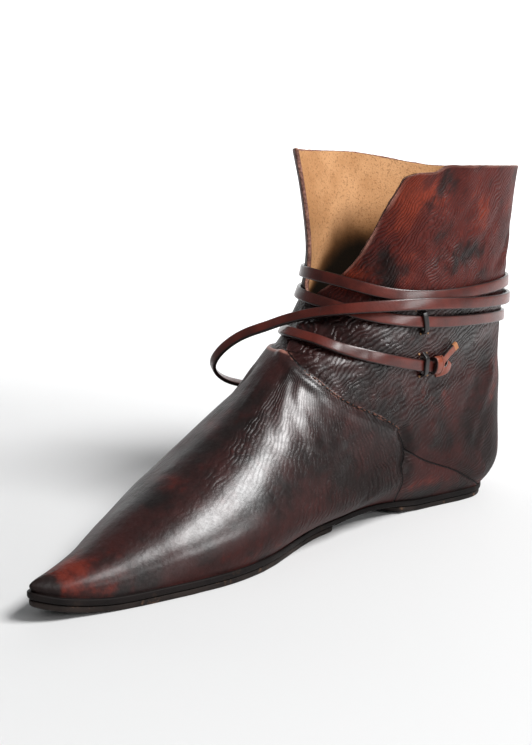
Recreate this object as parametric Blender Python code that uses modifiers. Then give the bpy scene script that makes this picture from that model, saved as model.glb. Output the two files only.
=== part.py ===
"""Medieval ankle shoe for the right foot: soft leather upper, thin layered sole and wrapped thong.

The toe points to -X, the inner side to -Y, and the origin lies on the floor under the heel's centre.
"""
import math

import bmesh
import bpy
import numpy as np

MM = 0.001
LENGTH = 284 * MM
HEEL_SETBACK = 28 * MM
COLLAR_HEIGHT = 169.6 * MM
WALL = 2.0 * MM
GAP = 0.3 * MM
TREAD_LAYER = 2.6 * MM
SOLE_LAYER = 2.8 * MM
SOLE_TOP = TREAD_LAYER + SOLE_LAYER + GAP
FEATHER = SOLE_TOP + GAP
HEEL_RADIUS = 26 * MM
HEEL_SWELL = 7 * MM
TOE_RADIUS = 12.5 * MM
TOE_BOX_LOW = 9 * MM
TOE_BOX_HIGH = 18 * MM
TUCK_HEIGHT = 17 * MM
FEATHER_INSET = 0.8 * MM
LIFT_FADE = 45 * MM
TOE_SPRING = 7 * MM
SPRING_START = 246 * MM
WAIST_RISE = 2.4 * MM
WAIST_AT = 92 * MM
WAIST_SPAN = 30 * MM
TIP_SHIFT = 11 * MM
TIP_SHIFT_START = 130 * MM

# height over the floor, station of the back line, station of the front line (mm)
# a station is a distance along the foot from the sole's heel end
PROFILE = np.array([
    (6, -0.5, 282.5),
    (9, -6.0, 283.2),
    (13, -10.5, 276.5),
    (18, -13.0, 260.5),
    (24, -13.8, 244.5),
    (33, -13.6, 225.2),
    (44, -12.8, 202.6),
    (57, -12.2, 178.6),
    (70, -12.0, 156.8),
    (80, -12.2, 140.8),
    (88, -12.5, 129.0),
    (96, -12.4, 119.8),
    (106, -12.2, 112.8),
    (120, -12.5, 107.6),
    (136, -13.5, 107.2),
    (155, -16.0, 109.8),
    (178, -19.0, 115.0),
]) * MM

# station, half widths of the sole (inner side, outer side), half widths of the upper (inner, outer) (mm)
PLAN = np.array([
    (0, 25.8, 26.0, 31.5, 32.0),
    (25, 29.5, 28.5, 33.8, 33.8),
    (55, 25.5, 27.0, 33.0, 35.0),
    (88, 20.8, 26.5, 32.5, 37.0),
    (118, 17.2, 31.0, 34.0, 40.5),
    (150, 23.2, 38.0, 37.0, 44.0),
    (180, 31.8, 41.5, 39.2, 45.0),
    (206, 31.6, 36.8, 36.4, 40.0),
    (232, 25.0, 26.4, 28.6, 30.0),
    (256, 16.6, 16.4, 19.8, 20.0),
    (272, 10.2, 10.4, 13.4, 13.6),
    (285, 6.0, 6.5, 9.0, 9.5),
]) * MM

# height, half widths of the shaft on the inner and outer side (mm)
SHAFT = np.array([
    (55, 33.0, 35.0),
    (80, 37.0, 39.0),
    (105, 40.0, 41.0),
    (130, 41.5, 42.0),
    (155, 43.5, 44.0),
    (178, 46.0, 46.5),
]) * MM
ANKLE_START = 58 * MM
ANKLE_END = 104 * MM
VAMP_ROUNDNESS = 2.1
SHAFT_ROUNDNESS = 0.9

# edges of the front slit: height (mm), angle of the inner flap's edge, angle of the outer flap's edge
SLIT = np.array([
    (104, -0.23, -0.23),
    (110, -0.08, -0.32),
    (115, 0.05, -0.38),
    (124, 0.26, -0.41),
    (132, 0.385, -0.42),
    (145, 0.535, -0.42),
    (158, 0.69, -0.42),
    (169, 0.80, -0.42),
]) * (MM, 1, 1)
# the inner flap's edge below the slit, where it lies on the outer flap: height (mm), angle
LAP = np.array([
    (82, 0.06),
    (87, -0.04),
    (96, -0.13),
    (104, -0.23),
]) * (MM, 1)
LAP_STEP = 1.4 * MM
LAP_WIDTH = 0.42
LAP_ROOT = 66 * MM
STEP_DEPTH = 1.2 * MM
THROAT_HEIGHT = 84 * MM
THROAT_FALL = 20 * MM
THROAT_ANGLES = (-0.95, 0.10)
OUTER_RIM_RISE = 7.5 * MM
OUTER_RIM_ANGLES = (3.6, 4.75)
CORNER_DROP = 3 * MM
CORNER_ANGLES = (1.04, 1.26)
COLLAR_START = 118 * MM
COLUMNS = 60
# heights of the upper's rows (mm)
LEVELS = (
    6, 7.6, 9.8, 12.5, 16, 20.5, 26, 32.5, 40, 48, 57, 66,
    75, 83, 90, 97, 104, 111, 119, 128, 138, 148, 158.5, 169,
)

FOREPART_START = 114 * MM
HEEL_LAYER_END = 84 * MM
LAYER_INSET = 0.7 * MM
LAYER_CORNER = 9 * MM
EDGE_ROUND = 0.7 * MM
OUTLINE_STEPS = 64

THONG_WIDTH = 5.6 * MM
THONG_THICK = 1.9 * MM
THONG_CLEAR = 0.5 * MM
THONG_STEPS = 190
END_STEPS = 41
# the thong's turns: whole turns behind it, angle, height (mm), layers of thong under it
THONG = np.array([
    (0, 1.475, 76.2, 0),
    (0, 1.20, 79.7, 0),
    (0, 0.54, 87.1, 0.1),
    (0, 0.26, 89.2, 0.8),
    (0, -0.15, 91.0, 0.8),
    (0, -0.50, 92.0, 0),
    (0, -1.60, 90.5, 0),
    (0, -2.80, 91.5, 0),
    (1, 2.44, 94.0, 0),
    (1, 1.70, 96.4, 0),
    (1, 1.13, 98.0, 0),
    (1, 0.57, 101.5, 0),
    (1, 0.00, 106.6, 0),
    (1, -0.60, 109.0, 0),
    (1, -1.60, 108.5, 0),
    (1, -2.80, 110.5, 0),
    (2, 2.38, 112.4, 0),
    (2, 1.56, 110.4, 0),
    (2, 1.12, 109.6, 0),
    (2, 0.72, 111.2, 0),
    (2, 0.29, 115.4, 0),
    (2, -0.08, 118.2, 0),
    (2, -0.60, 119.0, 0),
    (2, -1.40, 117.0, 0.3),
    (2, -2.20, 111.5, 1),
    (2, -3.00, 105.0, 1),
    (3, 2.60, 103.4, 0.6),
    (3, 2.10, 104.2, 1),
    (3, 1.59, 105.2, 1),
    (3, 1.13, 106.2, 1),
    (3, 0.76, 105.6, 1),
    (3, 0.37, 103.4, 1),
    (3, 0.00, 100.0, 0.8),
    (3, -0.24, 97.6, 0.5),
]) * (1, 1, MM, 1)
# loops cut in the upper for the thong: angle, height of the thong there (mm)
LOOPS = ((1.445, 76.6 * MM), (1.13, 97.8 * MM))
LOOP_WIDTH = 2.6 * MM
LOOP_THICK = 1.5 * MM
# angle that a loop leans back for each metre of height
LOOP_LEAN = 12.5
# side view of a loop: height from the thong's middle (mm), share of the loop's full rise
LOOP_PROFILE = np.array([
    (-6.8, -0.5),
    (-5.6, 0.15),
    (-4.5, 0.72),
    (-3.3, 1.0),
    (0.0, 1.03),
    (3.3, 1.0),
    (4.5, 0.72),
    (5.6, 0.15),
    (6.8, -0.5),
]) * (MM, 1)
# free end from the last turn to the outer slope of the vamp: x, y, z (mm)
FREE_END = np.array([
    (-94.8, 17.2, 95.4),
    (-97.0, 23.5, 94.2),
    (-100.0, 30.5, 91.4),
    (-103.0, 37.0, 88.0),
    (-106.0, 43.0, 83.2),
    (-108.0, 47.8, 77.5),
    (-107.2, 50.2, 72.3),
    (-103.2, 50.0, 67.6),
    (-97.5, 48.4, 64.4),
    (-90.0, 46.8, 62.1),
    (-81.0, 45.6, 59.5),
]) * MM
KNOT_ANGLE = 1.552
KNOT_HEIGHT = 76.2 * MM
KNOT_OUT = 2.8 * MM
# half sizes of the knot along the thong, up the upper and outward
KNOT_HALF = (3.35 * MM, 4.2 * MM, 2.25 * MM)
# cut tail of the knot: angle from the knot, height over the floor (mm), distance outside the upper (mm)
KNOT_TAIL = np.array([
    (0.0, 76.6, 2.0),
    (0.04, 80.8, 1.75),
    (0.08, 85.0, 1.5),
]) * (1, MM, MM)
TAIL_WIDTH = 4.6 * MM
TAIL_THICK = 1.8 * MM
TAIL_STEPS = 7


def spline(x, xs, ys):
    """Natural cubic spline through a short table."""
    count = len(xs)
    step = np.diff(xs)
    matrix = np.eye(count)
    right = np.zeros(count)
    for i in range(1, count - 1):
        matrix[i, i - 1:i + 2] = step[i - 1], 2 * (step[i - 1] + step[i]), step[i]
        right[i] = 6 * ((ys[i + 1] - ys[i]) / step[i] - (ys[i] - ys[i - 1]) / step[i - 1])
    bend = np.linalg.solve(matrix, right)
    x = np.clip(x, xs[0], xs[-1])
    i = np.clip(np.searchsorted(xs, x) - 1, 0, count - 2)
    a = (xs[i + 1] - x) / step[i]
    b = 1 - a
    curve = (a ** 3 - a) * bend[i] + (b ** 3 - b) * bend[i + 1]
    return a * ys[i] + b * ys[i + 1] + curve * step[i] ** 2 / 6


def ease(x, low, high):
    u = np.clip((x - low) / (high - low), 0, 1)
    return u * u * (3 - 2 * u)


def back_line(z):
    return spline(z, PROFILE[:, 0], PROFILE[:, 1])


def front_line(z):
    return spline(z, PROFILE[:, 0], PROFILE[:, 2])


RIDGE_Z = np.linspace(10 * MM, 112 * MM, 300)
RIDGE_S = front_line(RIDGE_Z)


def ridge_height(s):
    """Height of the vamp's ridge over a station; far above the foot behind the throat."""
    behind = np.clip(RIDGE_S[-1] - s, 0, None)
    return np.interp(s, RIDGE_S[::-1], RIDGE_Z[::-1]) + 4 * behind


def end_round(distance, radius):
    return np.sqrt(1 - (1 - np.clip(distance / radius, 0, 1)) ** 2)


def side_shift(s):
    """Sideways run of the foot's middle line, towards the inner side at the toe."""
    return -TIP_SHIFT * np.clip((s - TIP_SHIFT_START) / (LENGTH - TIP_SHIFT_START), 0, 1.05) ** 2


def lift(s):
    """Rise of the sole over the floor: toe spring and the arch of the waist."""
    toe = TOE_SPRING * np.clip((s - SPRING_START) / (LENGTH - SPRING_START), 0, 1.05) ** 2
    waist = WAIST_RISE * np.clip(1 - ((s - WAIST_AT) / WAIST_SPAN) ** 2, 0, 1) ** 2
    return toe + waist


def plan(s, column):
    return spline(s, PLAN[:, 0], PLAN[:, column])


def upper_point(t, z):
    """Outer face of the upper: t runs from the front (0) over the inner side to the back (pi) and on."""
    t = np.asarray(t, float)
    z = np.asarray(z, float)
    front = front_line(z)
    back = back_line(z)
    s = front - (front - back) * (1 - np.cos(t)) / 2
    inner = np.sin(t) >= 0
    sole = np.where(inner, plan(s, 1), plan(s, 2))
    upper = np.where(inner, plan(s, 3), plan(s, 4))
    tuck = 1 - np.clip(1 - (z - FEATHER) / TUCK_HEIGHT, 0, 1) ** 2
    ends = end_round(s - back, HEEL_RADIUS + HEEL_SWELL * tuck)
    ends = ends * end_round(front - s, TOE_RADIUS) ** (1 - ease(z, TOE_BOX_LOW, TOE_BOX_HIGH))
    crown = np.clip(1 - (z / np.maximum(ridge_height(s), z)) ** VAMP_ROUNDNESS, 0, 1) ** 0.5
    foot = (sole - FEATHER_INSET + (upper - sole + FEATHER_INSET) * tuck) * ends * crown
    girth = np.where(inner, spline(z, SHAFT[:, 0], SHAFT[:, 1]), spline(z, SHAFT[:, 0], SHAFT[:, 2]))
    shaft = girth * np.abs(np.sin(t)) ** SHAFT_ROUNDNESS
    blend = ease(z, ANKLE_START, ANKLE_END)
    half = foot * (1 - blend) + shaft * blend
    y = np.where(inner, -half, half) + side_shift(s) * (1 - blend)
    rise = lift(s) * np.clip(1 - (z - FEATHER) / LIFT_FADE, 0, 1)
    return np.stack([HEEL_SETBACK - s, y, z + rise], -1)


# BLENDER OBJECTS
for leftover in list(bpy.data.objects):
    bpy.data.objects.remove(leftover)

shoe = bpy.data.collections.new("medieval_shoe")
cutters = bpy.data.collections.new("joined_pieces")
for group in (shoe, cutters):
    bpy.context.scene.collection.children.link(group)


def leather(name, colour, roughness):
    material = bpy.data.materials.new(name)
    material.use_nodes = True
    shader = material.node_tree.nodes["Principled BSDF"]
    shader.inputs["Base Color"].default_value = (*colour, 1)
    shader.inputs["Roughness"].default_value = roughness
    return material


UPPER_LEATHER = leather("upper_leather", (0.060, 0.022, 0.016), 0.42)
SOLE_LEATHER = leather("sole_leather", (0.035, 0.022, 0.016), 0.6)
THONG_LEATHER = leather("thong_leather", (0.130, 0.036, 0.020), 0.35)


def add(name, points, faces, material, group=shoe):
    """Object from points and faces, its faces turned outward and shaded smooth."""
    mesh = bpy.data.meshes.new(name)
    mesh.from_pydata([tuple(point) for point in points], [], faces)
    edit = bmesh.new()
    edit.from_mesh(mesh)
    bmesh.ops.recalc_face_normals(edit, faces=edit.faces)
    edit.to_mesh(mesh)
    edit.free()
    mesh.shade_smooth()
    mesh.set_sharp_from_angle(angle=math.radians(40))
    mesh.materials.append(material)
    made = bpy.data.objects.new(name, mesh)
    group.objects.link(made)
    if group is cutters:
        made.hide_render = True
        made.display_type = "WIRE"
    return made


def upper_normal(t, z):
    """Outward normal of the upper's outer face."""
    small = 0.2 * MM
    along = upper_point(t + 0.004, z) - upper_point(t - 0.004, z)
    up = upper_point(t, z + small) - upper_point(t, z - small)
    normal = np.cross(along, up)
    return normal / np.linalg.norm(normal, axis=-1, keepdims=True)


def on_upper(t, z, out):
    """Point at a distance outside the upper's outer face."""
    return upper_point(t, z) + upper_normal(t, z) * np.expand_dims(out, -1)


def collar_rise(t):
    """Height of the rim over the collar height: the outer flap stands higher, the inner corner is rounded."""
    return OUTER_RIM_RISE * ease(t, *OUTER_RIM_ANGLES) - CORNER_DROP * (1 - ease(t, *CORNER_ANGLES))


def level_points(level):
    """One row of the upper, from the inner flap's edge round the back to the outer flap's edge."""
    if level <= SLIT[0, 0]:
        first = last = SLIT[0, 1] * ease(level, LAP_ROOT, SLIT[0, 0])
        share = np.arange(COLUMNS) / COLUMNS
    else:
        first = spline(level, SLIT[:, 0], SLIT[:, 1])
        last = spline(level, SLIT[:, 0], SLIT[:, 2])
        share = np.arange(COLUMNS + 1) / COLUMNS
    t = first + (2 * math.pi + last - first) * share
    z = level + collar_rise(t) * ease(level, COLLAR_START, COLLAR_HEIGHT)
    return upper_point(t, z)


def build_upper():
    """Outer face row by row, closed round the foot and open at the slit, then given its wall."""
    points = []
    rows = []
    faces = []
    for level in LEVELS:
        row = level_points(level * MM)
        index = list(range(len(points), len(points) + len(row)))
        if len(row) == COLUMNS:
            index.append(index[0])
        points.extend(row)
        rows.append(index)
    for low, high in zip(rows, rows[1:]):
        for k in range(COLUMNS):
            faces.append((low[k], low[k + 1], high[k + 1], high[k]))
    made = add("upper", points, faces, UPPER_LEATHER)
    wall = made.modifiers.new("wall", "SOLIDIFY")
    wall.thickness = WALL
    wall.offset = -1
    wall.use_quality_normals = True
    return made


def join_to(target, piece):
    union = target.modifiers.new("join_" + piece.name, "BOOLEAN")
    union.operation = "UNION"
    union.solver = "EXACT"
    union.object = piece


def block(name, top, bottom, material, group=shoe):
    """Closed solid between two point grids of the same size."""
    rows, columns = top.shape[:2]
    count = rows * columns
    points = np.concatenate([top.reshape(-1, 3), bottom.reshape(-1, 3)])
    faces = []
    for i in range(rows - 1):
        for j in range(columns - 1):
            a = i * columns + j
            quad = (a, a + 1, a + columns + 1, a + columns)
            faces.append(quad)
            faces.append(tuple(count + k for k in reversed(quad)))
    border = [j for j in range(columns)]
    border += [i * columns + columns - 1 for i in range(1, rows)]
    border += [(rows - 1) * columns + j for j in range(columns - 2, -1, -1)]
    border += [i * columns for i in range(rows - 2, 0, -1)]
    for a, b in zip(border, border[1:] + border[:1]):
        faces.append((b, a, count + a, count + b))
    return add(name, points, faces, material, group)


def lap_step():
    """Wedge that raises the inner flap's edge over the outer flap, below the slit."""
    share = np.linspace(0, 1, 5)[None, :]
    z = np.linspace(LAP[0, 0], LAP[-1, 0], 9)[:, None] + 0 * share
    t = spline(z, LAP[:, 0], LAP[:, 1]) + LAP_WIDTH * share
    top = on_upper(t, z, LAP_STEP * (1 - 1.5 * share) + 0 * z)
    bottom = on_upper(t, z, 0 * z - STEP_DEPTH)
    return block("lap_edge", top, bottom, UPPER_LEATHER, cutters)


def throat_step():
    """Wedge that raises the vamp's free edge over the flaps at the throat."""
    along = np.linspace(0, 1, 13)[:, None]
    share = np.linspace(0, 1, 5)[None, :]
    t = THROAT_ANGLES[0] + (THROAT_ANGLES[1] - THROAT_ANGLES[0]) * along + 0 * share
    z = THROAT_HEIGHT - THROAT_FALL * share + 0 * along
    full = ease(along, 0, 0.35) * (1 - ease(along, 0.85, 1))
    top = on_upper(t, z, LAP_STEP * (full * (1 - 1.5 * share) - 0.5 * (1 - full)))
    bottom = on_upper(t, z, 0 * z - STEP_DEPTH)
    return block("throat_edge", top, bottom, UPPER_LEATHER, cutters)


def strip(name, middle, normal, width, thick, material, group=shoe):
    """Flat strip along a path, with its faces square to the given normals."""
    forward = np.gradient(middle, axis=0)
    forward /= np.linalg.norm(forward, axis=1, keepdims=True)
    normal = normal - forward * (normal * forward).sum(1, keepdims=True)
    normal /= np.linalg.norm(normal, axis=1, keepdims=True)
    side = np.cross(forward, normal)
    corners = ((-0.5, -0.5), (0.5, -0.5), (0.5, 0.5), (-0.5, 0.5))
    ring = [middle + side * width * a + normal * thick * b for a, b in corners]
    points = np.stack(ring, 1).reshape(-1, 3)
    faces = [(3, 2, 1, 0)]
    for i in range(len(middle) - 1):
        for k in range(4):
            n = (k + 1) % 4
            faces.append((4 * i + k, 4 * i + n, 4 * i + 4 + n, 4 * i + 4 + k))
    last = 4 * (len(middle) - 1)
    faces.append((last, last + 1, last + 2, last + 3))
    return add(name, points, faces, material, group)


def thong_loop(number, t, z):
    """Bar of the upper's own leather that the thong runs under."""
    clear = THONG_THICK + THONG_CLEAR + GAP + LOOP_THICK / 2
    height = z + LOOP_PROFILE[:, 0]
    angle = t - LOOP_LEAN * (height - z)
    middle = on_upper(angle, height, LOOP_PROFILE[:, 1] * clear)
    outward = upper_normal(angle, height)
    rise = np.gradient(middle, axis=0)
    across = np.cross(outward, rise)
    normal = np.cross(rise, across)
    return strip(f"thong_loop_{number}", middle, normal, LOOP_WIDTH, LOOP_THICK, UPPER_LEATHER, cutters)


def thong_path():
    """Middle line of the wrapped thong and the upper's normals along it."""
    angle = THONG[:, 1] - 2 * math.pi * THONG[:, 0]
    order = -angle
    at = np.linspace(order[0], order[-1], THONG_STEPS)
    z = spline(at, order, THONG[:, 2])
    layers = np.clip(np.interp(at, order, THONG[:, 3]), 0, 1)
    out = THONG_CLEAR + THONG_THICK / 2 + layers * (THONG_THICK + GAP)
    return on_upper(-at, z, out), upper_normal(-at, z)


def carried_normals(path, first):
    """Normals that turn with the path and no more."""
    forward = np.gradient(path, axis=0)
    forward /= np.linalg.norm(forward, axis=1, keepdims=True)
    normals = [first]
    for direction in forward[1:]:
        carried = normals[-1] - direction * np.dot(normals[-1], direction)
        normals.append(carried / np.linalg.norm(carried))
    return np.array(normals)


def slab(name, start, end, start_radius, end_radius, inset, low, high, material):
    """Layer of the sole between two stations, following its outline, arch and toe spring."""
    count = OUTLINE_STEPS
    t = 2 * math.pi * np.arange(count) / count
    steps = (
        (0.8 * EDGE_ROUND, low),
        (0, low + EDGE_ROUND),
        (0, high - 0.6 * EDGE_ROUND),
        (0.6 * EDGE_ROUND, high),
    )
    points = []
    faces = []
    for extra, z in steps:
        first = start + extra
        last = end - extra
        s = last - (last - first) * (1 - np.cos(t)) / 2
        inner = np.sin(t) >= 0
        half = np.where(inner, plan(s, 1), plan(s, 2)) - inset - extra
        half = half * end_round(s - first, start_radius) * end_round(last - s, end_radius)
        y = np.where(inner, -half, half) + side_shift(s)
        points.append(np.stack([HEEL_SETBACK - s, y, z + lift(s)], -1))
    for level in range(len(steps) - 1):
        for k in range(count):
            a = level * count + k
            b = level * count + (k + 1) % count
            faces.append((a, b, b + count, a + count))
    for base in (0, (len(steps) - 1) * count):
        for k in range(count // 2):
            ring = (k, k + 1, count - k - 1, (count - k) % count)
            faces.append(tuple(dict.fromkeys(base + corner for corner in ring)))
    return add(name, np.concatenate(points), faces, material)


def knot():
    """Knot that stops the thong behind the lower loop, with its cut tail."""
    centre = on_upper(KNOT_ANGLE, KNOT_HEIGHT, KNOT_OUT)
    out = upper_normal(KNOT_ANGLE, KNOT_HEIGHT)
    along = upper_point(KNOT_ANGLE + 0.01, KNOT_HEIGHT) - upper_point(KNOT_ANGLE - 0.01, KNOT_HEIGHT)
    along /= np.linalg.norm(along)
    axes = np.stack([along, np.cross(out, along), out])
    ball = bmesh.new()
    bmesh.ops.create_uvsphere(ball, u_segments=16, v_segments=10, radius=1)
    points = [centre + (np.array(corner.co) * KNOT_HALF) @ axes for corner in ball.verts]
    faces = [tuple(corner.index for corner in face.verts) for face in ball.faces]
    ball.free()
    body = add("thong_knot", points, faces, THONG_LEATHER)
    rows = np.arange(len(KNOT_TAIL), dtype=float)
    fine = np.linspace(0, rows[-1], TAIL_STEPS)
    angle = KNOT_ANGLE + np.interp(fine, rows, KNOT_TAIL[:, 0])
    height = np.interp(fine, rows, KNOT_TAIL[:, 1])
    middle = on_upper(angle, height, np.interp(fine, rows, KNOT_TAIL[:, 2]))
    normal = upper_normal(angle, height)
    join_to(body, strip("knot_tail", middle, normal, TAIL_WIDTH, TAIL_THICK, THONG_LEATHER, cutters))


upper = build_upper()
joined = [lap_step(), throat_step()]
joined += [thong_loop(number, t, z) for number, (t, z) in enumerate(LOOPS, 1)]
for piece in joined:
    join_to(upper, piece)
slab("outsole", 0, LENGTH, HEEL_RADIUS, TOE_RADIUS, 0, TREAD_LAYER + GAP, SOLE_TOP, SOLE_LEATHER)
forepart = (FOREPART_START, LENGTH - LAYER_INSET, LAYER_CORNER, TOE_RADIUS)
slab("forepart_layer", *forepart, LAYER_INSET, 0, TREAD_LAYER, SOLE_LEATHER)
heel = (LAYER_INSET, HEEL_LAYER_END, HEEL_RADIUS, LAYER_CORNER)
slab("heel_layer", *heel, LAYER_INSET, 0, TREAD_LAYER, SOLE_LEATHER)
wraps, outward = thong_path()
strip("thong_wraps", wraps, outward, THONG_WIDTH, THONG_THICK, THONG_LEATHER)
knot()
places = np.arange(len(FREE_END), dtype=float)
fine = np.linspace(0, places[-1], END_STEPS)
loose = np.stack([spline(fine, places, FREE_END[:, axis]) for axis in range(3)], 1)
strip("thong_end", loose, carried_normals(loose, outward[-1]), THONG_WIDTH, THONG_THICK, THONG_LEATHER)
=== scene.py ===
"""Medieval ankle shoe in dark wrinkled leather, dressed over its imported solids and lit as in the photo."""

import math

import bpy
import numpy as np
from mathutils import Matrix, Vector, noise


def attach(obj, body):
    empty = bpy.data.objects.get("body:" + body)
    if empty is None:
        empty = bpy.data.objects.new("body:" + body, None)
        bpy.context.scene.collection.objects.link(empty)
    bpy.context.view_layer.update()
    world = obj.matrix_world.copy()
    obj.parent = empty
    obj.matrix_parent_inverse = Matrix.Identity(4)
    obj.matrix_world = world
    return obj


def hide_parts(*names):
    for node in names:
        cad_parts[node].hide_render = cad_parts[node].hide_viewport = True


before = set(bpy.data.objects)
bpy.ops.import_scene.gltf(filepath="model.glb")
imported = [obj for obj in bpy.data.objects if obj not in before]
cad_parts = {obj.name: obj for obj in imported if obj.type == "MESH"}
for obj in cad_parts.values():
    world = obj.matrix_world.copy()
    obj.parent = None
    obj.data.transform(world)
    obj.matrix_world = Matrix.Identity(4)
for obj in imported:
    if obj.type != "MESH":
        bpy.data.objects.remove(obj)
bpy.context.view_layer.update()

MM = 0.001
LENGTH = 284 * MM
HEEL_SETBACK = 28 * MM
COLLAR_HEIGHT = 169.6 * MM
WALL = 2.0 * MM
GAP = 0.3 * MM
TREAD_LAYER = 2.6 * MM
SOLE_LAYER = 2.8 * MM
SOLE_TOP = TREAD_LAYER + SOLE_LAYER + GAP
FEATHER = SOLE_TOP + GAP
HEEL_RADIUS = 26 * MM
HEEL_SWELL = 7 * MM
TOE_RADIUS = 12.5 * MM
TOE_BOX_LOW = 9 * MM
TOE_BOX_HIGH = 18 * MM
TUCK_HEIGHT = 17 * MM
FEATHER_INSET = 0.8 * MM
LIFT_FADE = 45 * MM
TOE_SPRING = 7 * MM
SPRING_START = 246 * MM
WAIST_RISE = 2.4 * MM
WAIST_AT = 92 * MM
WAIST_SPAN = 30 * MM
TIP_SHIFT = 11 * MM
TIP_SHIFT_START = 130 * MM

# height over the floor, station of the back line, station of the front line (mm)
PROFILE = np.array([
    (6, -0.5, 282.5),
    (9, -6.0, 283.2),
    (13, -10.5, 276.5),
    (18, -13.0, 260.5),
    (24, -13.8, 244.5),
    (33, -13.6, 225.2),
    (44, -12.8, 202.6),
    (57, -12.2, 178.6),
    (70, -12.0, 156.8),
    (80, -12.2, 140.8),
    (88, -12.5, 129.0),
    (96, -12.4, 119.8),
    (106, -12.2, 112.8),
    (120, -12.5, 107.6),
    (136, -13.5, 107.2),
    (155, -16.0, 109.8),
    (178, -19.0, 115.0),
]) * MM

# station, half widths of the sole (inner side, outer side), half widths of the upper (inner, outer) (mm)
PLAN = np.array([
    (0, 25.8, 26.0, 31.5, 32.0),
    (25, 29.5, 28.5, 33.8, 33.8),
    (55, 25.5, 27.0, 33.0, 35.0),
    (88, 20.8, 26.5, 32.5, 37.0),
    (118, 17.2, 31.0, 34.0, 40.5),
    (150, 23.2, 38.0, 37.0, 44.0),
    (180, 31.8, 41.5, 39.2, 45.0),
    (206, 31.6, 36.8, 36.4, 40.0),
    (232, 25.0, 26.4, 28.6, 30.0),
    (256, 16.6, 16.4, 19.8, 20.0),
    (272, 10.2, 10.4, 13.4, 13.6),
    (285, 6.0, 6.5, 9.0, 9.5),
]) * MM

# height, half widths of the shaft on the inner and outer side (mm)
SHAFT = np.array([
    (55, 33.0, 35.0),
    (80, 37.0, 39.0),
    (105, 40.0, 41.0),
    (130, 41.5, 42.0),
    (155, 43.5, 44.0),
    (178, 46.0, 46.5),
]) * MM
ANKLE_START = 58 * MM
ANKLE_END = 104 * MM
VAMP_ROUNDNESS = 2.1
SHAFT_ROUNDNESS = 0.9

# free edge of the inner flap, from the throat to the collar: height (mm), angle
INNER_FLAP_EDGE = np.array([
    (82, 0.06),
    (87, -0.04),
    (96, -0.13),
    (104, -0.23),
    (110, -0.08),
    (115, 0.05),
    (124, 0.26),
    (132, 0.385),
    (145, 0.535),
    (158, 0.685),
    (165, 0.765),
    (168.2, 0.825),
    (169.6, 0.90),
]) * (MM, 1)
# free edge of the outer flap, tucked under the inner one at first: height (mm), angle
OUTER_FLAP_EDGE = np.array([
    (82, 0.24),
    (92, 0.06),
    (98, -0.06),
    (104, -0.19),
    (111, -0.33),
    (119, -0.40),
    (132, -0.42),
    (169.6, -0.42),
]) * (MM, 1)
LAP_STEP = 2.1 * MM
LAP_WIDTH = 0.5
THROAT_HEIGHT = 84 * MM
THROAT_FALL = 20 * MM
OUTER_RIM_RISE = 7.5 * MM
OUTER_RIM_ANGLES = (3.6, 4.75)
CORNER_DROP = 3 * MM
CORNER_ANGLES = (1.04, 1.26)
COLLAR_START = 118 * MM
# roll of the inner flap's corner outwards at the rim
CORNER_ROLL = 6 * MM
ROLL_DEPTH = 9 * MM
ROLL_ANGLES = ((0.55, 0.85), (1.0, 1.3))
# where the vamp laps the flaps at the throat, and how far its last two rows are rounded off
THROAT_ANGLES = ((-0.98, -0.6), (0.02, LAP_WIDTH))
THROAT_ROUNDING = (0.12 * MM, 0.6 * MM)
# where the inner flap laps over the outer one, and where the outer one is sunk under it
LAP_HEIGHTS = ((78 * MM, THROAT_HEIGHT), (94 * MM, 103 * MM))
UNDERLAP_HEIGHTS = ((84 * MM, 90 * MM), (104 * MM, 114 * MM))
UNDERLAP_ANGLES = (0.2, 0.6)

# swells of the leather: height, waves in a metre, seed
SWELLS = ((0.45 * MM, 30, 1), (0.22 * MM, 75, 2))
SEAM_DEPTH = 0.7 * MM
INSERT_DEPTH = 0.5 * MM
GROOVE_WIDTH = 2.2 * MM
# lip of leather ahead of the stitched part of the side seam
LIP_HEIGHT = 0.8 * MM
LIP_OFFSET = 3.6 * MM
LIP_WIDTH = 2.0 * MM
STITCHED_HEIGHTS = (40 * MM, 52 * MM)
SEAM_TOP = 85 * MM
INSERT_TOP = 37 * MM
# swell of the ankle between the thong's turns, and the leather pressed flat under them
ANKLE_SWELL = 0.55 * MM
ANKLE_HEIGHTS = ((70 * MM, 80 * MM), (118 * MM, 128 * MM))
PRESSED_WIDTH = 4.6 * MM
PRESSED_SHARE = 0.75
FEATHER_FADE = (6 * MM, 11 * MM)
# section of the cut edge: distance past the border, depth from the outer face (mm)
EDGE_PROFILE = np.array([
    (0.16, 0.10),
    (0.36, 0.42),
    (0.42, 1.0),
    (0.36, 1.58),
    (0.14, 1.92),
    (-0.5, 2.0),
]) * MM
# raggedness of the cut edge: share, waves in a metre, seed
EDGE_RAGGED = ((0.9, 420, 3), (0.8, 150, 5))

# heights between which the finish and the wrinkles of the upper change
SHAFT_FINISH = (100 * MM, 112 * MM)
CALM_RIM = (150 * MM, 168 * MM)
QUARTER_WRINKLES = (60 * MM, 84 * MM)
VAMP_WRINKLES = (26 * MM, 58 * MM)
CALM_FEATHER = (10 * MM, 20 * MM)
# angles from the front line between which they change
CALM_RIDGE = (0.16, 0.42)
SEAM_WRINKLES = (1.0, 1.35)
CALM_HEEL = (1.45, 1.95)
DULL_SEAM = (0.75, 1.15)
DULL_HEEL = (1.8, 2.4)
DULL_OUTER_SIDE = (-0.1, 0.4)
# distances from the toe, and behind the side seam, between which they change
DULL_TOE = (10 * MM, 50 * MM)
VAMP_FINISH = (-1.0 * MM, 1.0 * MM)
# shares of the way up the side between which the polish sets in, and the height that counts as the top
POLISH_RISE = (0.08, 0.5)
POLISH_TOP = 90 * MM
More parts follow.
